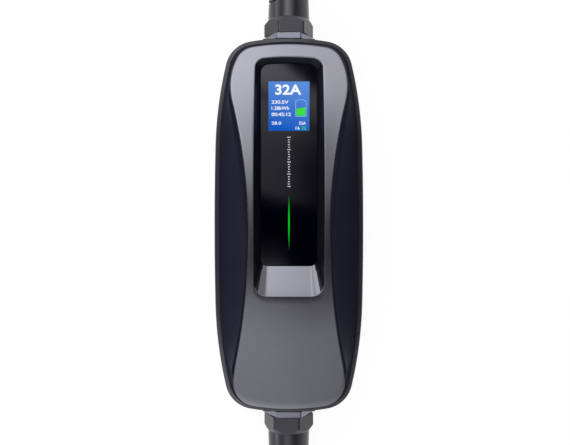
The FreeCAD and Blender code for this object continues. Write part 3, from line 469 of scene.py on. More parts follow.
@dataclass(frozen=True)
class WaistHalf:
    """One half of the waisted outline, from the waist to an end, in millimetres."""

    half_width: float
    shoulder: float
    shoulder_back: float
    corner: float
    end: float
    end_radius: float = 150.0

    def quarter(self, waist_x: float, waist_y: float) -> list[Arc]:
        """Solve the tangent arcs of a quarter.

        Args:
            waist_x: half the width at the waist.
            waist_y: place of the waist along the box.

        Returns:
            Arcs from the waist to the middle of the end.
        """
        sx, sy = self.half_width - self.shoulder, self.end - self.shoulder_back
        across, along = waist_x - sx, sy - waist_y
        radius = (across ** 2 + along ** 2 - self.shoulder ** 2) / (2 * (self.shoulder - across))
        wx = waist_x + radius
        ey = self.end - self.end_radius
        cx, cy = meeting((0.0, ey), self.end_radius - self.corner, (sx, sy), self.shoulder - self.corner)
        hollow = math.atan2(sy - waist_y, sx - wx)
        shoulder_turn = math.atan2(cy - sy, cx - sx)
        end_turn = math.atan2(cy - ey, cx)
        return [Arc(wx, waist_y, radius, math.pi, hollow, -1),
                Arc(sx, sy, self.shoulder, hollow - math.pi, shoulder_turn),
                Arc(cx, cy, self.corner, shoulder_turn, end_turn),
                Arc(0.0, ey, self.end_radius, end_turn, math.pi / 2)]


@dataclass(frozen=True)
class WaistPlan:
    """Plan of the grey cover: a waisted outline in millimetres."""

    waist_x: float = 26.5
    waist_y: float = -6.0
    upper: WaistHalf = WaistHalf(38.4, 42.0, 28.03, 13.8, 118.6)
    lower: WaistHalf = WaistHalf(36.1, 90.0, 13.08, 15.6, 118.2)

    def loop(self, offset: float, upper: Counts, lower: Counts) -> Loop:
        """Closed outline, moved outwards by the offset."""
        return whole_loop(sampled(self.upper.quarter(self.waist_x, self.waist_y), upper, offset),
                          sampled(self.lower.quarter(self.waist_x, -self.waist_y), lower, offset))


@dataclass(frozen=True)
class RecessPlan:
    """Round-cornered plan of the recess or of the window, in millimetres."""

    half_width: float
    top: float
    bottom: float
    top_corner: float
    bottom_corner: float
    end_radius: float = 150.0
    middle: float = -6.0

    def loop(self, grow: float, upper: Counts, lower: Counts) -> Loop:
        """Closed outline, grown by a margin on all sides.

        Args:
            grow: the margin.
            upper: steps along a side, a corner and half of the upper end.
            lower: the same for the lower end.

        Returns:
            The outline, anticlockwise from the right side.
        """
        x, top, bottom = self.half_width + grow, self.top + grow, -(self.bottom - grow)
        r_top, r_low, r_end = self.top_corner + grow, self.bottom_corner + grow, self.end_radius + grow
        end_y = top - r_end
        corner_y = end_y + math.sqrt((r_end - r_top) ** 2 - (x - r_top) ** 2)
        lean = math.atan2(corner_y - end_y, x - r_top)
        up = [Run((x, self.middle), (x, corner_y)), Arc(x - r_top, corner_y, r_top, 0.0, lean),
              Arc(0.0, end_y, r_end, lean, math.pi / 2)]
        low = [Run((x, -self.middle), (x, bottom - r_low)),
               Arc(x - r_low, bottom - r_low, r_low, 0.0, math.pi / 2),
               Run((x - r_low, bottom), (0.0, bottom))]
        return whole_loop(sampled(up, upper, 0.0), sampled(low, lower, 0.0))


@dataclass(frozen=True)
class Crown:
    """Side profile of the front: flat, then a long arc that falls towards the supply end."""

    height: float = 58.0
    start: float = -75.0
    stop: float = 90.0
    tilt_deg: float = 4.4

    def z(self, y: float) -> float:
        """Height of the front at a place along the box.

        Args:
            y: the place in millimetres.

        Returns:
            The height in millimetres.
        """
        tilt = math.radians(self.tilt_deg)
        radius = (self.stop - self.start) / math.sin(tilt)
        if y <= self.start:
            return self.height
        if y <= self.stop:
            return self.height - radius + math.sqrt(radius ** 2 - (y - self.start) ** 2)
        return self.height - radius * (1 - math.cos(tilt)) - (y - self.stop) * math.tan(tilt)


CASE = CasePlan()
WAIST = WaistPlan()
CROWN = Crown()
WINDOW_HEIGHT = 45.0
RECESS_FLOOR = RecessPlan(18.7, 106.9, -27.2, 5.5, 4.8)
WINDOW_THICKNESS = 2.0
COVER_THICKNESS = 2.4
PARTING_HEIGHT = 39.0
LEDGE_HEIGHT = 42.6


def flat_ring(loop: Loop, z: float) -> Ring:
    """A plan outline at one height."""
    return [(x, y, z) for x, y in loop]


def crowned_ring(loop: Loop, lift: float) -> Ring:
    """A plan outline laid on the front surface, raised by a lift."""
    return [(x, y, CROWN.z(y) + lift) for x, y in loop]


def between(first: Ring, second: Ring, share: float) -> Ring:
    """Ring part of the way from one ring to another."""
    return [tuple(a + (b - a) * share for a, b in zip(p, q)) for p, q in zip(first, second)]


def rectangle(x0: float, y0: float, x1: float, y1: float) -> Loop:
    """Four corners, anticlockwise."""
    return [(x0, y0), (x1, y0), (x1, y1), (x0, y1)]


def put(name: str, data: bpy.types.ID) -> Object:
    """Put an object into the scene.

    Args:
        name: name of the object.
        data: its mesh, text or camera.

    Returns:
        The object.
    """
    made = bpy.data.objects.new(name, data)
    bpy.context.scene.collection.objects.link(made)
    return made


def worked_out(source: Object) -> Mesh:
    """Mesh of an object with its cuts made or its text filled in.

    Args:
        source: the object.

    Returns:
        A new mesh.
    """
    bpy.context.view_layer.update()
    graph = bpy.context.evaluated_depsgraph_get()
    return bpy.data.meshes.new_from_object(source.evaluated_get(graph))


def finished(name: str, mesh: Mesh, material: Material, crease_deg: float = 32.0) -> Object:
    """Turn a mesh into a piece of the box.

    Args:
        name: name of the piece.
        mesh: its mesh, in metres.
        material: its skin.
        crease_deg: edges that turn by more than this stay sharp.

    Returns:
        The piece, riding on the body.
    """
    mesh.materials.clear()
    mesh.materials.append(material)
    mesh.shade_smooth()
    mesh.set_sharp_from_angle(angle=math.radians(crease_deg))
    piece = put(name, mesh)
    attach(piece, ROOT)
    LOG.info("%s: %d faces", name, len(mesh.polygons))
    return piece


def skin_mesh(name: str, rings: list[Ring], capped: bool = False) -> Mesh:
    """Join closed rings of equal length into a closed skin.

    Args:
        name: name of the mesh.
        rings: rings of points in millimetres.
        capped: close the first and last ring with faces, instead of joining them to each other.

    Returns:
        The mesh, in metres, with its faces turned outwards.
    """
    count = len(rings[0])
    points = [tuple(c * MM for c in p) for ring in rings for p in ring]
    last = len(rings) - 1 if capped else len(rings)
    faces = []
    for r in range(last):
        low, high = r * count, ((r + 1) % len(rings)) * count
        faces += [(low + k, low + (k + 1) % count, high + (k + 1) % count, high + k) for k in range(count)]
    if capped:
        faces.append(tuple(reversed(range(count))))
        faces.append(tuple(last * count + k for k in range(count)))
    mesh = bpy.data.meshes.new(name)
    mesh.from_pydata(points, [], faces)
    work = bmesh.new()
    work.from_mesh(mesh)
    bmesh.ops.recalc_face_normals(work, faces=work.faces)
    work.to_mesh(mesh)
    work.free()
    return mesh


def prism_mesh(name: str, loop: Loop, low: float, high: float) -> Mesh:
    """Solid between two heights on a plan outline."""
    return skin_mesh(name, [flat_ring(loop, low), flat_ring(loop, high)], capped=True)


def without(mesh: Mesh, tool: Mesh) -> Mesh:
    """Cut a solid out of a solid.

    Args:
        mesh: the mesh to work on.
        tool: the mesh to take away.

    Returns:
        A new mesh.
    """
    base = put(mesh.name + "_base", mesh)
    helper = put(tool.name + "_tool", tool)
    cut = base.modifiers.new(tool.name, "BOOLEAN")
    cut.solver = "EXACT"
    cut.operation = "DIFFERENCE"
    cut.object = helper
    made = worked_out(base)
    bpy.data.objects.remove(base)
    bpy.data.objects.remove(helper)
    return made


@dataclass
class LidFrame:
    """Black lid: rounded rim, narrow ledge and a saddle with a scooped flank on each side.

    The rim and the saddle's foot are pairs of inset from the case outline and height. The scoop's
    lip is pairs of depth into the scoop and height over the front.
    """

    rim: Pairs = ((0.4, 39.0), (0.4, 40.6), (0.5, 40.95), (0.75, 41.2), (1.0, 41.37), (2.6, 42.3),
                  (2.9, 42.5), (3.3, 42.6))
    foot: Pairs = ((3.3, 41.6), (6.3, 47.6), (7.9, 59.0))
    foot_round: float = 3.0
    below_cover: float = 0.3
    scoop_radius: float = 415.0
    scoop_land: float = 0.7
    scoop_lip: Pairs = ((0.0, 2.5), (0.9, -0.3))
    lip_round: float = 0.6
    bowing: float = 1.35
    least_run: float = 0.1
    skirt_from: float = 0.3
    skirt_round: float = 2.0
    crest_round: float = 0.7
    flank_round: float = 0.9
    ledge_round: float = 1.2
    cover_gap: float = 0.2
    seat_width: float = 3.0
    deck: float = 2.2
    wall: float = 2.6
    steps: int = 64
    case_counts: Counts = (36, 34, 28, 22)
    cover_counts: Counts = (52, 24, 24, 20)
    crease_deg: float = 40.0

    def saddle(self, inset: float) -> float:
        """Height of the saddle's wall, steeper above than below.

        Args:
            inset: how far inside the case outline the place lies.

        Returns:
            The height in millimetres.
        """
        (x0, z0), (x1, z1), (x2, z2) = self.foot
        low = z0 + (inset - x0) * (z1 - z0) / (x1 - x0)
        high = z1 + (inset - x1) * (z2 - z1) / (x2 - x1)
        return smooth_max(low, high, self.foot_round)

    def flank(self, x: float, y: float, inset: float) -> float:
        """Height of the scooped flank, one smooth fall from its lip to the ledge.

        Args:
            x: place across the box.
            y: place along the box.
            inset: how far inside the case outline the place lies.

        Returns:
            The height in millimetres.
        """
        axis_x = WAIST.waist_x + self.scoop_land + self.scoop_radius
        depth = self.scoop_radius - math.hypot(abs(x) - axis_x, y - WAIST.waist_y)
        (x0, z0), (x1, z1) = self.scoop_lip
        crest = CROWN.z(WAIST.waist_y)
        lip = z0 + (depth - x0) * (z1 - z0) / (x1 - x0)
        left = max(inset - self.rim[-1][0], 0.0)
        share = max(depth - x1, 0.0) / max(depth - x1 + left, self.least_run)
        fall = (crest + z1 - LEDGE_HEIGHT) * (1 - share) ** self.bowing
        return smooth_max(crest + lip, LEDGE_HEIGHT + fall, self.lip_round)

    def height(self, x: float, y: float, share: float) -> float:
        """Height of the lid's outer skin between the ledge and the cover.

        Args:
            x: place across the box.
            y: place along the box.
            share: how far the place is on its way from the ledge to the cover.

        Returns:
            The height in millimetres.
        """
        inset = CASE.inset(x, y)
        seat = CROWN.z(y) - self.below_cover
        skirt = LEDGE_HEIGHT + (seat - LEDGE_HEIGHT) * (share - self.skirt_from) / (1 - self.skirt_from)
        wall = smooth_max(self.saddle(inset), skirt, self.skirt_round)
        wall = smooth_min(wall, seat, self.crest_round)
        scooped = smooth_min(wall, self.flank(x, y, inset), self.flank_round)
        return smooth_max(scooped, LEDGE_HEIGHT, self.ledge_round)

    def build(self, material: Material, matt: Material) -> None:
        """Make the lid in place of its solid.

        Args:
            material: the skin of its rim.
            matt: the skin of its flanks.
        """
        rings = [flat_ring(CASE.loop(-inset, self.case_counts), z) for inset, z in self.rim]
        start = flat_ring(CASE.loop(-self.rim[-1][0], self.case_counts), LEDGE_HEIGHT)
        stop = flat_ring(WAIST.loop(self.cover_gap, self.cover_counts, self.cover_counts), LEDGE_HEIGHT)
        for step in range(1, self.steps + 1):
            share = step / self.steps
            rings.append([(x, y, self.height(x, y, share)) for x, y, z in between(start, stop, share)])
        mesh = skin_mesh("lid_frame", rings + self.underside(rings[-1]))
        piece = finished("lid_frame", mesh, material, self.crease_deg)
        piece.data.materials.append(matt)
        first, count = len(self.rim) - 1, len(start)
        for index in range(first * count, (first + self.steps) * count):
            piece.data.polygons[index].material_index = 1
        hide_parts("front_shell")

    def underside(self, edge: Ring) -> list[Ring]:
        """Seat under the cover, the deck's thickness and the inner side of the walls.

        Args:
            edge: the last ring of the outer skin.

        Returns:
            Rings that lead back to the rim.
        """
        seat = [(x, y, min(z, CROWN.z(y) - COVER_THICKNESS)) for x, y, z in edge]
        inner = []
        for x, y in WAIST.loop(-self.seat_width, self.cover_counts, self.cover_counts):
            wall = self.saddle(CASE.inset(x, y))
            inner.append((x, y, min(CROWN.z(y) - COVER_THICKNESS, wall)))
        under = [(x, y, z - self.deck) for x, y, z in inner]
        side = CASE.loop(-self.foot[0][0] - self.wall, self.case_counts)
        return [seat, inner, under, flat_ring(side, LEDGE_HEIGHT - self.deck),
                flat_ring(side, PARTING_HEIGHT)]


@dataclass
class GreyCover:
    """Waisted grey cover with the display recess, its ramp and the tub below it."""

    edge_run: float = 0.6
    edge_drop: float = 0.5
    edge_angles: tuple[int, ...] = (0, 22, 45, 68, 90)
    across: int = 14
    opening_edge: float = 0.35
    opening_corners: Point = (7.0, 9.4)
    overshoot: float = 2.0
    halvings: int = 24
    lip_steps: int = 4
    wall_bands: int = 4
    wall_run: float = 4.0
    top_run: float = 3.4
    ramp_run: float = 18.6
    window_gap: float = 0.02
    window_ledge: float = 2.0
    tub_floor: float = 1.8
    tub_wall: float = 2.0
    under_share: float = 0.12
    outer_upper: Counts = (34, 18, 16, 12)
    outer_lower: Counts = (24, 16, 12, 12)
    inner_upper: Counts = (44, 20, 16)
    inner_lower: Counts = (20, 28, 16)
    crease_deg: float = 50.0

    def outer(self, offset: float) -> Loop:
        """The cover's outline, moved outwards by the offset."""
        return WAIST.loop(offset, self.outer_upper, self.outer_lower)

    def floor(self, grow: float) -> Loop:
        """The window's outline, grown by a margin."""
        return RECESS_FLOOR.loop(grow, self.inner_upper, self.inner_lower)

    def opening(self) -> Ring:
        """Sharp edge where the recess would meet the front, before rounding.

        Returns:
            A point of the edge for each point of the window's outline.
        """
        run = 1 + self.overshoot / (CROWN.height - WINDOW_HEIGHT)
        bottom = RECESS_FLOOR.bottom - self.ramp_run * run
        top = RECESS_FLOOR.top + self.top_run + self.overshoot / 2
        half_width = RECESS_FLOOR.half_width + self.wall_run * run
        high = RecessPlan(half_width, top, bottom, *self.opening_corners)
        rise = (CROWN.z(top) - CROWN.z(bottom)) / (top - bottom)
        above = [(x, y, CROWN.z(bottom) + (y - bottom) * rise + self.overshoot)
                 for x, y in high.loop(0.0, self.inner_upper, self.inner_lower)]
        below = flat_ring(self.floor(0.0), WINDOW_HEIGHT)
        return [self.crossing(foot, head) for foot, head in zip(below, above)]

    def crossing(self, foot: Spot, head: Spot) -> Spot:
        """Place where a line up the recess's wall meets the front, found by halving.

        Args:
            foot: the line's foot on the window.
            head: the line's head, above the front.

        Returns:
            The place, a hair below the front.
        """
        low, high = 0.0, 1.0
        for _ in range(self.halvings):
            share = (low + high) / 2
            _, y, z = between([foot], [head], share)[0]
            if z < CROWN.z(y):
                low = share
            else:
                high = share
        return between([foot], [head], low)[0]

    def rounded(self, edge: Ring, floor: Ring) -> list[Ring]:
        """Rings that round the recess's upper edge, from the front down into the wall.

        Args:
            edge: the sharp edge.
            floor: the foot of the wall.

        Returns:
            Rings on a curve that touches the front and the wall.
        """
        made = [[] for _ in range(self.lip_steps + 1)]
        for k, corner in enumerate(edge):
            here = Vector(corner)
            along = (Vector(edge[(k + 1) % len(edge)]) - Vector(edge[k - 1])).normalized()
            outward = Vector((along.y, -along.x, 0.0)).normalized()
            start = here + outward * self.opening_edge
            start.z = CROWN.z(start.y)
            stop = here + (Vector(floor[k]) - here).normalized() * self.opening_edge
            for step, ring in enumerate(made):
                share = step / self.lip_steps
                point = start * (1 - share) ** 2 + here * (2 * share * (1 - share)) + stop * share ** 2
                ring.append(tuple(point))
        return made

    def front(self, lip: Ring) -> list[Ring]:
        """Outer side, rounded edge and front.

        Args:
            lip: the ring on the front where the recess's rounding starts.

        Returns:
            Rings from the foot of the outer side to the last one before the lip.
        """
        rings = [crowned_ring(self.outer(0.0), -COVER_THICKNESS)]
        for angle in self.edge_angles:
            turn = math.radians(angle)
            rings.append(crowned_ring(self.outer(-self.edge_run * (1 - math.cos(turn))),
                                      -self.edge_drop * (1 - math.sin(turn))))
        start = rings[-1]
        for step in range(1, self.across):
            rings.append([(x, y, CROWN.z(y)) for x, y, z in between(start, lip, step / self.across)])
        return rings

    def underside(self, lip: Ring) -> list[Ring]:
        """Window's seat, tub and the cover's inner side.

        Args:
            lip: the ring on the front where the recess's rounding starts.

        Returns:
            Rings that lead back to the foot of the outer side.
        """
        under = WINDOW_HEIGHT - WINDOW_THICKNESS
        low = under - self.tub_floor
        steps = ((self.window_gap, under), (-self.window_ledge, under), (-self.window_ledge, low),
                 (self.tub_wall, low))
        edge = crowned_ring(self.outer(-self.edge_run), 0.0)
        inner = [(x, y, CROWN.z(y) - COVER_THICKNESS) for x, y, z in between(lip, edge, self.under_share)]
        return [flat_ring(self.floor(grow), z) for grow, z in steps] + [inner]

    def build(self, material: Material, wall_shade: Material) -> None:
        """Make the cover in place of its solid.

        Args:
            material: the lacquer of its front.
            wall_shade: painted shade on the recess's side walls, a near-black matt skin in place of the
                lacquer there.
        """
        floor = flat_ring(self.floor(0.0), WINDOW_HEIGHT)
        lip = self.rounded(self.opening(), floor)
        rings = self.front(lip[0]) + lip
        wall = len(rings) - 1
        rings += [between(lip[-1], floor, band / self.wall_bands) for band in range(1, self.wall_bands)]
        rings += [floor] + self.underside(lip[0])
        mesh = skin_mesh("grey_cover", rings)
        piece = finished("grey_cover", mesh, material, self.crease_deg)
        piece.data.materials.append(wall_shade)
        side = self.inner_lower[0] + self.inner_lower[1] // 2
        # The recess's side walls get the second skin: painted shade, near black, in place of the lacquer
        for k in range(-side, 2 * sum(self.inner_upper) + side):
            for band in range(wall, wall + self.wall_bands):
                piece.data.polygons[band * len(floor) + k % len(floor)].material_index = 1
        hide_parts("fascia")


@dataclass
class DisplayWindow:
    """Black glossy sheet on the recess's floor, open over the display's picture."""

    picture: tuple[float, float, float, float] = (-13.55, 62.3, 13.55, 94.9)
    seam: float = 0.06
    edge: float = 0.15
    cut_past: float = 1.0
    counts: Counts = (8, 10, 8)
    crease_deg: float = 30.0

    def build(self, material: Material) -> None:
        """Make the sheet in place of its solid.

        Args:
            material: the sheet's skin.
        """
        low, high = WINDOW_HEIGHT - WINDOW_THICKNESS, WINDOW_HEIGHT
        edge = self.seam + self.edge
        rings = [flat_ring(RECESS_FLOOR.loop(-inset, self.counts, self.counts), z)
                 for inset, z in ((self.seam, low), (self.seam, high - self.edge), (edge, high))]
        opening = prism_mesh("picture_opening", rectangle(*self.picture), low - self.cut_past,
                             high + self.cut_past)
        sheet = without(skin_mesh("window_sheet", rings, capped=True), opening)
        piece = finished("window_sheet", sheet, material, self.crease_deg)
        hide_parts("display_window")


@dataclass(frozen=True)
class Reading:
    """A line of figures on the display: its left end, foot, height and width in millimetres."""

    text: str
    x: float
    y: float
    height: float
    width: float
    bold: float = 0.018
    green: bool = False


@dataclass
class DisplayPicture:
    """What the display shows: a blue field, plain figures and a battery sign."""

    window: DisplayWindow
    depth: float = 0.6
    below: float = 0.03
    figure_depth: float = 0.02
    cap_height: float = 0.729
    curve_steps: int = 3
    readings: tuple[Reading, ...] = (
        Reading("32A", -9.1, 86.4, 6.6, 17.3, 0.030),
        Reading("230.5V", -11.5, 80.2, 2.3, 11.2),
        Reading("1.28kWh", -11.5, 76.2, 2.3, 11.6),
        Reading("00:45:12", -11.5, 72.1, 2.3, 12.8),
        Reading("28.0", -11.5, 66.4, 2.1, 6.4, 0.016),
        Reading("32A", 6.6, 66.4, 2.1, 4.6),
        Reading("16", 4.4, 63.1, 2.1, 2.7, 0.016),
        Reading("32", 8.2, 63.1, 2.1, 3.1, 0.02, True),
    )
    battery: tuple[float, float, float, float] = (4.3, 71.6, 11.5, 82.2)
    battery_line: float = 0.32
    battery_cap: Point = (3.4, 0.8)
    level: Point = (76.9, 77.9)

    def build(self, blue: Material, white: Material, pale: Material, green: Material) -> None:
        """Make the picture and what stands on it.

        Args:
            blue: material of the picture's field.
            white: material of the figures.
            pale: material of the battery's outline.
            green: material of the battery's level and of the green figures.
        """
        top = WINDOW_HEIGHT - self.below
        picture = prism_mesh("lcd_picture", rectangle(*self.window.picture), top - self.depth, top)
        finished("lcd_picture", picture, blue)
        for index, reading in enumerate(self.readings):
            name = f"reading_{index + 1}"
            ink = green if reading.green else white
            finished(name, self.figures(name, reading, top), ink)
        self.battery_sign(pale, green, top)

    def figures(self, name: str, reading: Reading, top: float) -> Mesh:
        """Mesh of one reading, in the program's own font, fitted to its width.

        Args:
            name: name of the mesh.
            reading: the figures, their place and their size.
            top: height of the picture.

        Returns:
            The mesh, in metres.
        """
        half = 0.5
        curve = bpy.data.curves.new(name, "FONT")
        curve.body = reading.text
        curve.size = 1.0
        curve.offset = reading.bold
        curve.extrude = half
        curve.resolution_u = self.curve_steps
        maker = put(name + "_maker", curve)
        mesh = worked_out(maker)
        bpy.data.objects.remove(maker)
        left = min(v.co.x for v in mesh.vertices)
        wide = reading.width / (max(v.co.x for v in mesh.vertices) - left)
        tall = reading.height / self.cap_height
        for vertex in mesh.vertices:
            x, y, z = vertex.co
            vertex.co = Vector((reading.x + (x - left) * wide, reading.y + y * tall,
                                top + (z + half) * self.figure_depth)) * MM
        return mesh

    def battery_loop(self, inset: float) -> Loop:
        """Battery sign with its cap, drawn in by an inset.

        Args:
            inset: how far inside the sign's edge the outline runs.

        Returns:
            The outline, anticlockwise from its lower left corner.
        """
        x0, y0, x1, y1 = self.battery
        cap, rise = self.battery_cap
        middle = (x0 + x1) / 2
        right = [(x1 - inset, y0 + inset), (x1 - inset, y1 - inset), (middle + cap / 2 + rise, y1 - inset),
                 (middle + cap / 2, y1 + rise - inset)]
        left = [(2 * middle - x, y) for x, y in reversed(right)]
        return left[-1:] + right + left[:-1]

    def battery_sign(self, pale: Material, green: Material, top: float) -> None:
        """Outline with a small cap, and the level inside it.

        Args:
            pale: material of the outline.
            green: material of the level.
            top: height of the picture.
        """
        high = top + self.figure_depth
        outer, inner = self.battery_loop(0.0), self.battery_loop(self.battery_line)
        rings = [flat_ring(loop, z)
                 for loop, z in ((outer, top), (outer, high), (inner, high), (inner, top))]
        finished("battery_outline", skin_mesh("battery_outline", rings), pale)
        x0, y0, x1, _ = self.battery
        gap = 2 * self.battery_line
        level = [(x0 + gap, y0 + gap), (x1 - gap, y0 + gap), (x1 - gap, self.level[1]),
                 (x0 + gap, self.level[0])]
        finished("battery_level", prism_mesh("battery_level", level, top, high), green)


@dataclass
class WindowMarks:
    """Printed scale under the display, and the needle-shaped status light."""

    scale_top: float = 58.0
    scale_bottom: float = 25.5
    ticks: int = 21
    long_every: int = 5
    short_length: float = 1.3
    long_length: float = 2.2
    tick_width: float = 0.42
    ink: float = 0.01
    light_top: float = 20.0
    light_bottom: float = -16.0
    light_width: float = 1.0
    light_steps: int = 24

    def build(self, ink: Material, light: Material) -> None:
        """Make the ticks and the light.

        Args:
            ink: material of the ticks.
            light: material of the lit light.
        """
        low, high = WINDOW_HEIGHT, WINDOW_HEIGHT + self.ink
        half = self.tick_width / 2
        for index in range(self.ticks):
            y = self.scale_top + (self.scale_bottom - self.scale_top) * index / (self.ticks - 1)
            reach = (self.short_length if index % self.long_every else self.long_length) / 2
            name = f"scale_tick_{index + 1:02d}"
            tick = prism_mesh(name, rectangle(-reach, y - half, reach, y + half), low, high)
            finished(name, tick, ink)
        needle = prism_mesh("status_light", self.needle(), low, high)
        finished("status_light", needle, light)

    def needle(self) -> Loop:
        """Outline of two shallow arcs that meet in points.

        Returns:
            The outline, anticlockwise from its lower point.
        """
        half = (self.light_top - self.light_bottom) / 2
        middle = (self.light_top + self.light_bottom) / 2
        rise = self.light_width / 2
        radius = (half ** 2 + rise ** 2) / (2 * rise)
        turn = math.asin(half / radius)
        arc = Arc(rise - radius, middle, radius, -turn, turn)
        right = [arc.at(step / self.light_steps, 0.0) for step in range(self.light_steps)]
        return right + [(-x, 2 * middle - y) for x, y in right]


@dataclass(frozen=True)
class Card:
    """Soft-edged card in the sky, which lets part of the sky through and adds its own light.

    Each edge is a share of roll and of pitch, and the sum in degrees where the card starts and is full.
    """

    times: float
    plus: float
    edges: tuple[tuple[float, float, float, float], ...]


# What the flat window mirrors: slanting dark and bright panes near straight up
WINDOW_CARDS = (
    Card(0.0, 0.0, ((0.78, 1, 12.1, 13.1), (0, 1, 17, 15), (1, 0, 5.5, 3.5))),
    Card(0.7, 0.0, ((0, 1, 9.5, 10.5), (0, 1, 16, 14), (1, 0, -3.2, -2.4), (1, 0, 3.2, 2.4))),
    Card(0.0, 0.0, ((0.275, 1, 2.2, 1.5), (0.635, 1, -1.3, -0.6), (1, 0, -6, -4), (1, 0, 6, 4))),
    Card(0.0, 0.0, ((0.275, 1, 2.2, 1.5), (1, 0, -1, 0.8), (1, 0, 6, 4), (0, 1, -8, -5))),
    Card(0.5, 0.62, ((0.275, 1, 1.5, 2.2), (0, 1, 10, 8), (1, 0, -3.2, -2.4), (1, 0, 2.2, -1.2))),
    Card(1.0, 0.14, ((0.275, 1, 1.5, 2.2), (0, 1, 10, 8), (1, 0, -1.2, 1.0), (1, 0, 3.2, 2.4))),
    Card(0.4, 0.0, ((0.636, 1, 8.5, 8.9), (0.636, 1, 9.8, 9.4), (1, 0, -5, -3.5), (1, 0, 5, 3.5))))
# Sides of the sky: plain, with a soft box high and low on the left and a dim stretch between
SIDE_CARDS = (
    Card(0.0, 0.9, ((1, 0, 22, 40),)),
    Card(0.0, 1.0, ((1, 0, -22, -40),)),
    Card(1.0, 1.6, ((1, 0, -26, -44), (0, 1, 34, 46))),
    Card(1.0, 1.6, ((1, 0, -26, -44), (0, 1, -34, -46))),
    Card(0.25, 0.0, ((1, 0, 22, 40), (0, 1, 46, 26), (0, 1, -46, -26))),
    Card(0.4, 0.0, ((1, 0, -22, -40), (0, 1, 40, 20), (0, 1, -40, -20))))


def ray_kinds(tree: NodeTree) -> tuple[Node, NodeSocket]:
    """Find out what kind of ray asks for the light.

    Args:
        tree: the node tree that gets the nodes.

    Returns:
        What is 1 for a ray off gloss or through glass, and what is 1 for the camera's own ray.
    """
    path = add_node(tree, "LightPath").outputs
    bounced = add_node(tree, "Math", {".operation": "MAXIMUM"},
                       {0: path["Is Glossy Ray"], 1: path["Is Transmission Ray"]})
    return bounced, path["Is Camera Ray"]


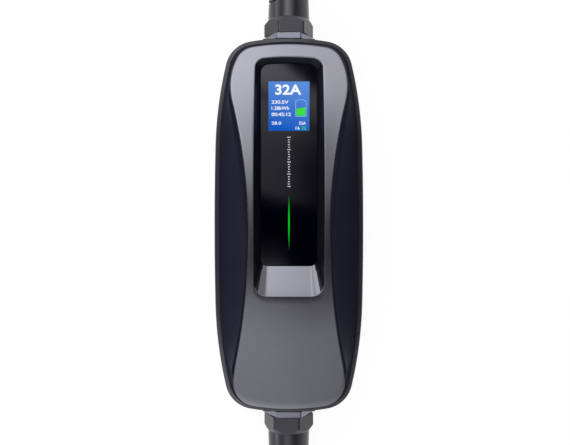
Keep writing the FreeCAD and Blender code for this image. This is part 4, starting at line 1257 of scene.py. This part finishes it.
@dataclass
class Studio:
    """Plain pale floor, soft light and the photograph's camera, in metres and degrees.

    Pitch is the angle from straight up along the box and roll the angle across it. The sky is the
    product of a brightness for each, which are kept in the ramps as shares of the full value.
    """

    camera_place: Spot = (-0.0026, 0.0017, 0.5105)
    lens_mm: float = 44.5
    sensor_mm: float = 36.0
    nearest: float = 0.01
    floor_half: float = 6.0
    floor_height: float = -0.0001
    floor_paper: str = "#f4f4f4"
    floor_glow: float = 1.03
    floor_share: float = 0.9
    sky_tint: str = "#f4f4fe"
    horizon: Point = (0.22, 0.1)
    least_up: float = 0.001
    full: float = 5.0
    pitch: Pairs = (
        (-90, 1.6), (-74, 1.6), (-55, 1.7), (-30, 2.2), (-22, 1.6), (-17, 0.95), (-14, 1.02), (-9, 1.38),
        (-7, 1.4), (-5, 1.35), (-4, 1.0), (-3, 0.15), (-1, 0.0), (4, 0.0), (6, 0.1), (8.5, 0.95),
        (12.4, 3.15), (17, 2.9), (22, 3.7), (30, 2.6), (45, 1.8), (56, 2.2), (65, 3.0), (80, 3.0),
        (90, 1.6))
    roll: Pairs = (
        (-90, 0.5), (-76, 1.3), (-60, 1.6), (-48, 1.2), (-34, 0.5), (-22, 0.7), (-12, 1.1), (-5, 1.1),
        (0, 0.98), (4, 0.73), (11, 0.65), (18, 0.45), (26, 0.2), (38, 0.2), (90, 0.2))
    cards: tuple[Card, ...] = WINDOW_CARDS + SIDE_CARDS

    def build(self) -> None:
        """Make the floor, the world and the camera."""
        self.floor()
        self.world()
        self.camera()

    def camera(self) -> None:
        """Look straight down on the front, with the supply gland up."""
        data = bpy.data.cameras.new("camera")
        data.lens = self.lens_mm
        data.sensor_width = self.sensor_mm
        data.clip_start = self.nearest
        camera = put("camera", data)
        camera.location = self.camera_place
        bpy.context.scene.camera = camera

    def floor(self) -> None:
        """Pale floor that turns white for the camera, in gloss and in glass, but keeps the shadow."""
        mesh = bpy.data.meshes.new("floor")
        corners = rectangle(-self.floor_half, -self.floor_half, self.floor_half, self.floor_half)
        mesh.from_pydata(flat_ring(corners, self.floor_height), [], [(0, 1, 2, 3)])
        floor = put("floor", mesh)
        material = new_material("floor_paper")
        tree = material.node_tree
        paper = add_node(tree, "BsdfDiffuse", {"Color": linear(self.floor_paper)})
        lift = add_node(tree, "Emission", {"Color": (1, 1, 1, 1), "Strength": self.floor_glow})
        bounced, camera = ray_kinds(tree)
        seen = add_node(tree, "Math", {".operation": "MAXIMUM"}, {0: bounced, 1: camera})
        share = add_node(tree, "Math", {".operation": "MULTIPLY", 1: self.floor_share}, {0: seen})
        both = add_node(tree, "MixShader", links={0: share, 1: paper, 2: lift})
        add_node(tree, "OutputMaterial", links={"Surface": both})
        mesh.materials.append(material)

    def band(self, tree: NodeTree, angle: Node, stops: Pairs) -> Node:
        """Brightness of the sky as a run of values over an angle from straight up.

        Args:
            tree: the world's node tree.
            angle: the angle in radians.
            stops: pairs of angle in degrees and brightness.

        Returns:
            The brightness, as a share of the full value.
        """
        share = add_node(tree, "MapRange", {"From Min": -math.pi / 2, "From Max": math.pi / 2},
                         {"Value": angle})
        ramp = add_node(tree, "ValToRGB", links={"Fac": share})
        elements = ramp.color_ramp.elements
        ramp.color_ramp.interpolation = "EASE"
        while len(elements) > 1:
            elements.remove(elements[0])
        for index, (degrees, value) in enumerate(stops):
            place, level = (degrees + 90) / 180, value / self.full
            stop = elements.new(place) if index else elements[0]
            stop.position = place
            stop.color = (level, level, level, 1)
        return ramp

    def shaded(self, tree: NodeTree, card: Card, sky: Node, roll: Node, pitch: Node) -> Node:
        """Sky with a card held in front of it.

        Args:
            tree: the world's node tree.
            card: the card.
            sky: brightness of the sky behind the card.
            roll: angle from straight up across the box, in radians.
            pitch: angle from straight up along the box, in radians.

        Returns:
            Brightness of the sky with the card.
        """
        cover = None
        for across, along, start, full in card.edges:
            side = add_node(tree, "Math", {".operation": "MULTIPLY", 1: across}, {0: roll})
            place = add_node(tree, "Math", {".operation": "MULTIPLY_ADD", 1: along}, {0: pitch, 2: side})
            edge = add_node(tree, "MapRange",
                            {".interpolation_type": "SMOOTHSTEP", "From Min": math.radians(start),
                             "From Max": math.radians(full)}, {"Value": place})
            if cover is not None:
                edge = add_node(tree, "Math", {".operation": "MULTIPLY"}, {0: cover, 1: edge})
            cover = edge
        behind = add_node(tree, "Math", {".operation": "MULTIPLY_ADD", 1: card.times, 2: card.plus},
                          {0: sky})
        return add_node(tree, "Mix", links={0: cover, 2: sky, 3: behind})

    def world(self) -> None:
        """Soft boxes as one smooth sky over a white horizon, which the camera sees as plain white."""
        world = bpy.data.worlds.new("studio")
        bpy.context.scene.world = world
        world.use_nodes = True
        tree = world.node_tree
        tree.nodes.clear()
        place = add_node(tree, "TexCoord").outputs["Generated"]
        axes = add_node(tree, "SeparateXYZ", links={"Vector": place}).outputs
        up = add_node(tree, "Math", {".operation": "MAXIMUM", 1: self.least_up}, {0: axes["Z"]})
        pitch = add_node(tree, "Math", {".operation": "ARCTAN2"}, {0: axes["Y"], 1: up})
        roll = add_node(tree, "Math", {".operation": "ARCTAN2"}, {0: axes["X"], 1: up})
        level = add_node(tree, "Math", {".operation": "MULTIPLY"},
                         {0: self.band(tree, pitch, self.pitch), 1: self.band(tree, roll, self.roll)})
        level = add_node(tree, "Math", {".operation": "MULTIPLY", 1: self.full ** 2}, {0: level})
        for card in self.cards:
            level = self.shaded(tree, card, level, roll, pitch)
        back = add_node(tree, "Background", {"Color": linear(self.sky_tint)}, {"Strength": level})
        white = add_node(tree, "Background", {"Color": (1, 1, 1, 1), "Strength": 1.0})
        low = add_node(tree, "MapRange",
                       {".interpolation_type": "SMOOTHSTEP", "From Min": self.horizon[0],
                        "From Max": self.horizon[1]}, {"Value": axes["Z"]})
        bounced, camera = ray_kinds(tree)
        near = add_node(tree, "Math", {".operation": "MULTIPLY"}, {0: bounced, 1: low})
        seen = add_node(tree, "Math", {".operation": "MAXIMUM"}, {0: near, 1: camera})
        both = add_node(tree, "MixShader", links={0: seen, 1: back, 2: white})
        add_node(tree, "OutputWorld", links={"Surface": both})


def dress_frame(made: dict[str, Material]) -> None:
    """Give every carried-over solid the skin of its material slot.

    Args:
        made: materials by the name of their slot.
    """
    for part in frame["record"]["subparts"]:
        node = frame["nodes"][part["node"]]
        node.data.materials.clear()
        node.data.materials.append(made[part["material_slot"]])
        LOG.info("dressed %s", part["node"])


def main() -> None:
    """Build the dressed model, piece by piece."""
    logging.basicConfig(level=logging.INFO, format="%(name)s: %(message)s")
    bpy.context.scene.view_settings.view_transform = "Standard"
    skins = {slot: skin.build() for slot, skin in SLOT_SKINS.items()}
    Studio().build()
    dress_frame(skins)
    LidFrame().build(skins["black_abs"], MATT_ABS.build())
    GreyCover().build(skins["grey_abs"], RECESS_WALL_SHADE.build())
    window = DisplayWindow()
    window.build(skins["black_acrylic"])
    DisplayPicture(window).build(LCD_BLUE.build(), LCD_WHITE.build(), LCD_PALE.build(), LCD_GREEN.build())
    WindowMarks().build(WHITE_INK.build(), STATUS_GREEN.build())


if __name__ == "__main__":
    main()
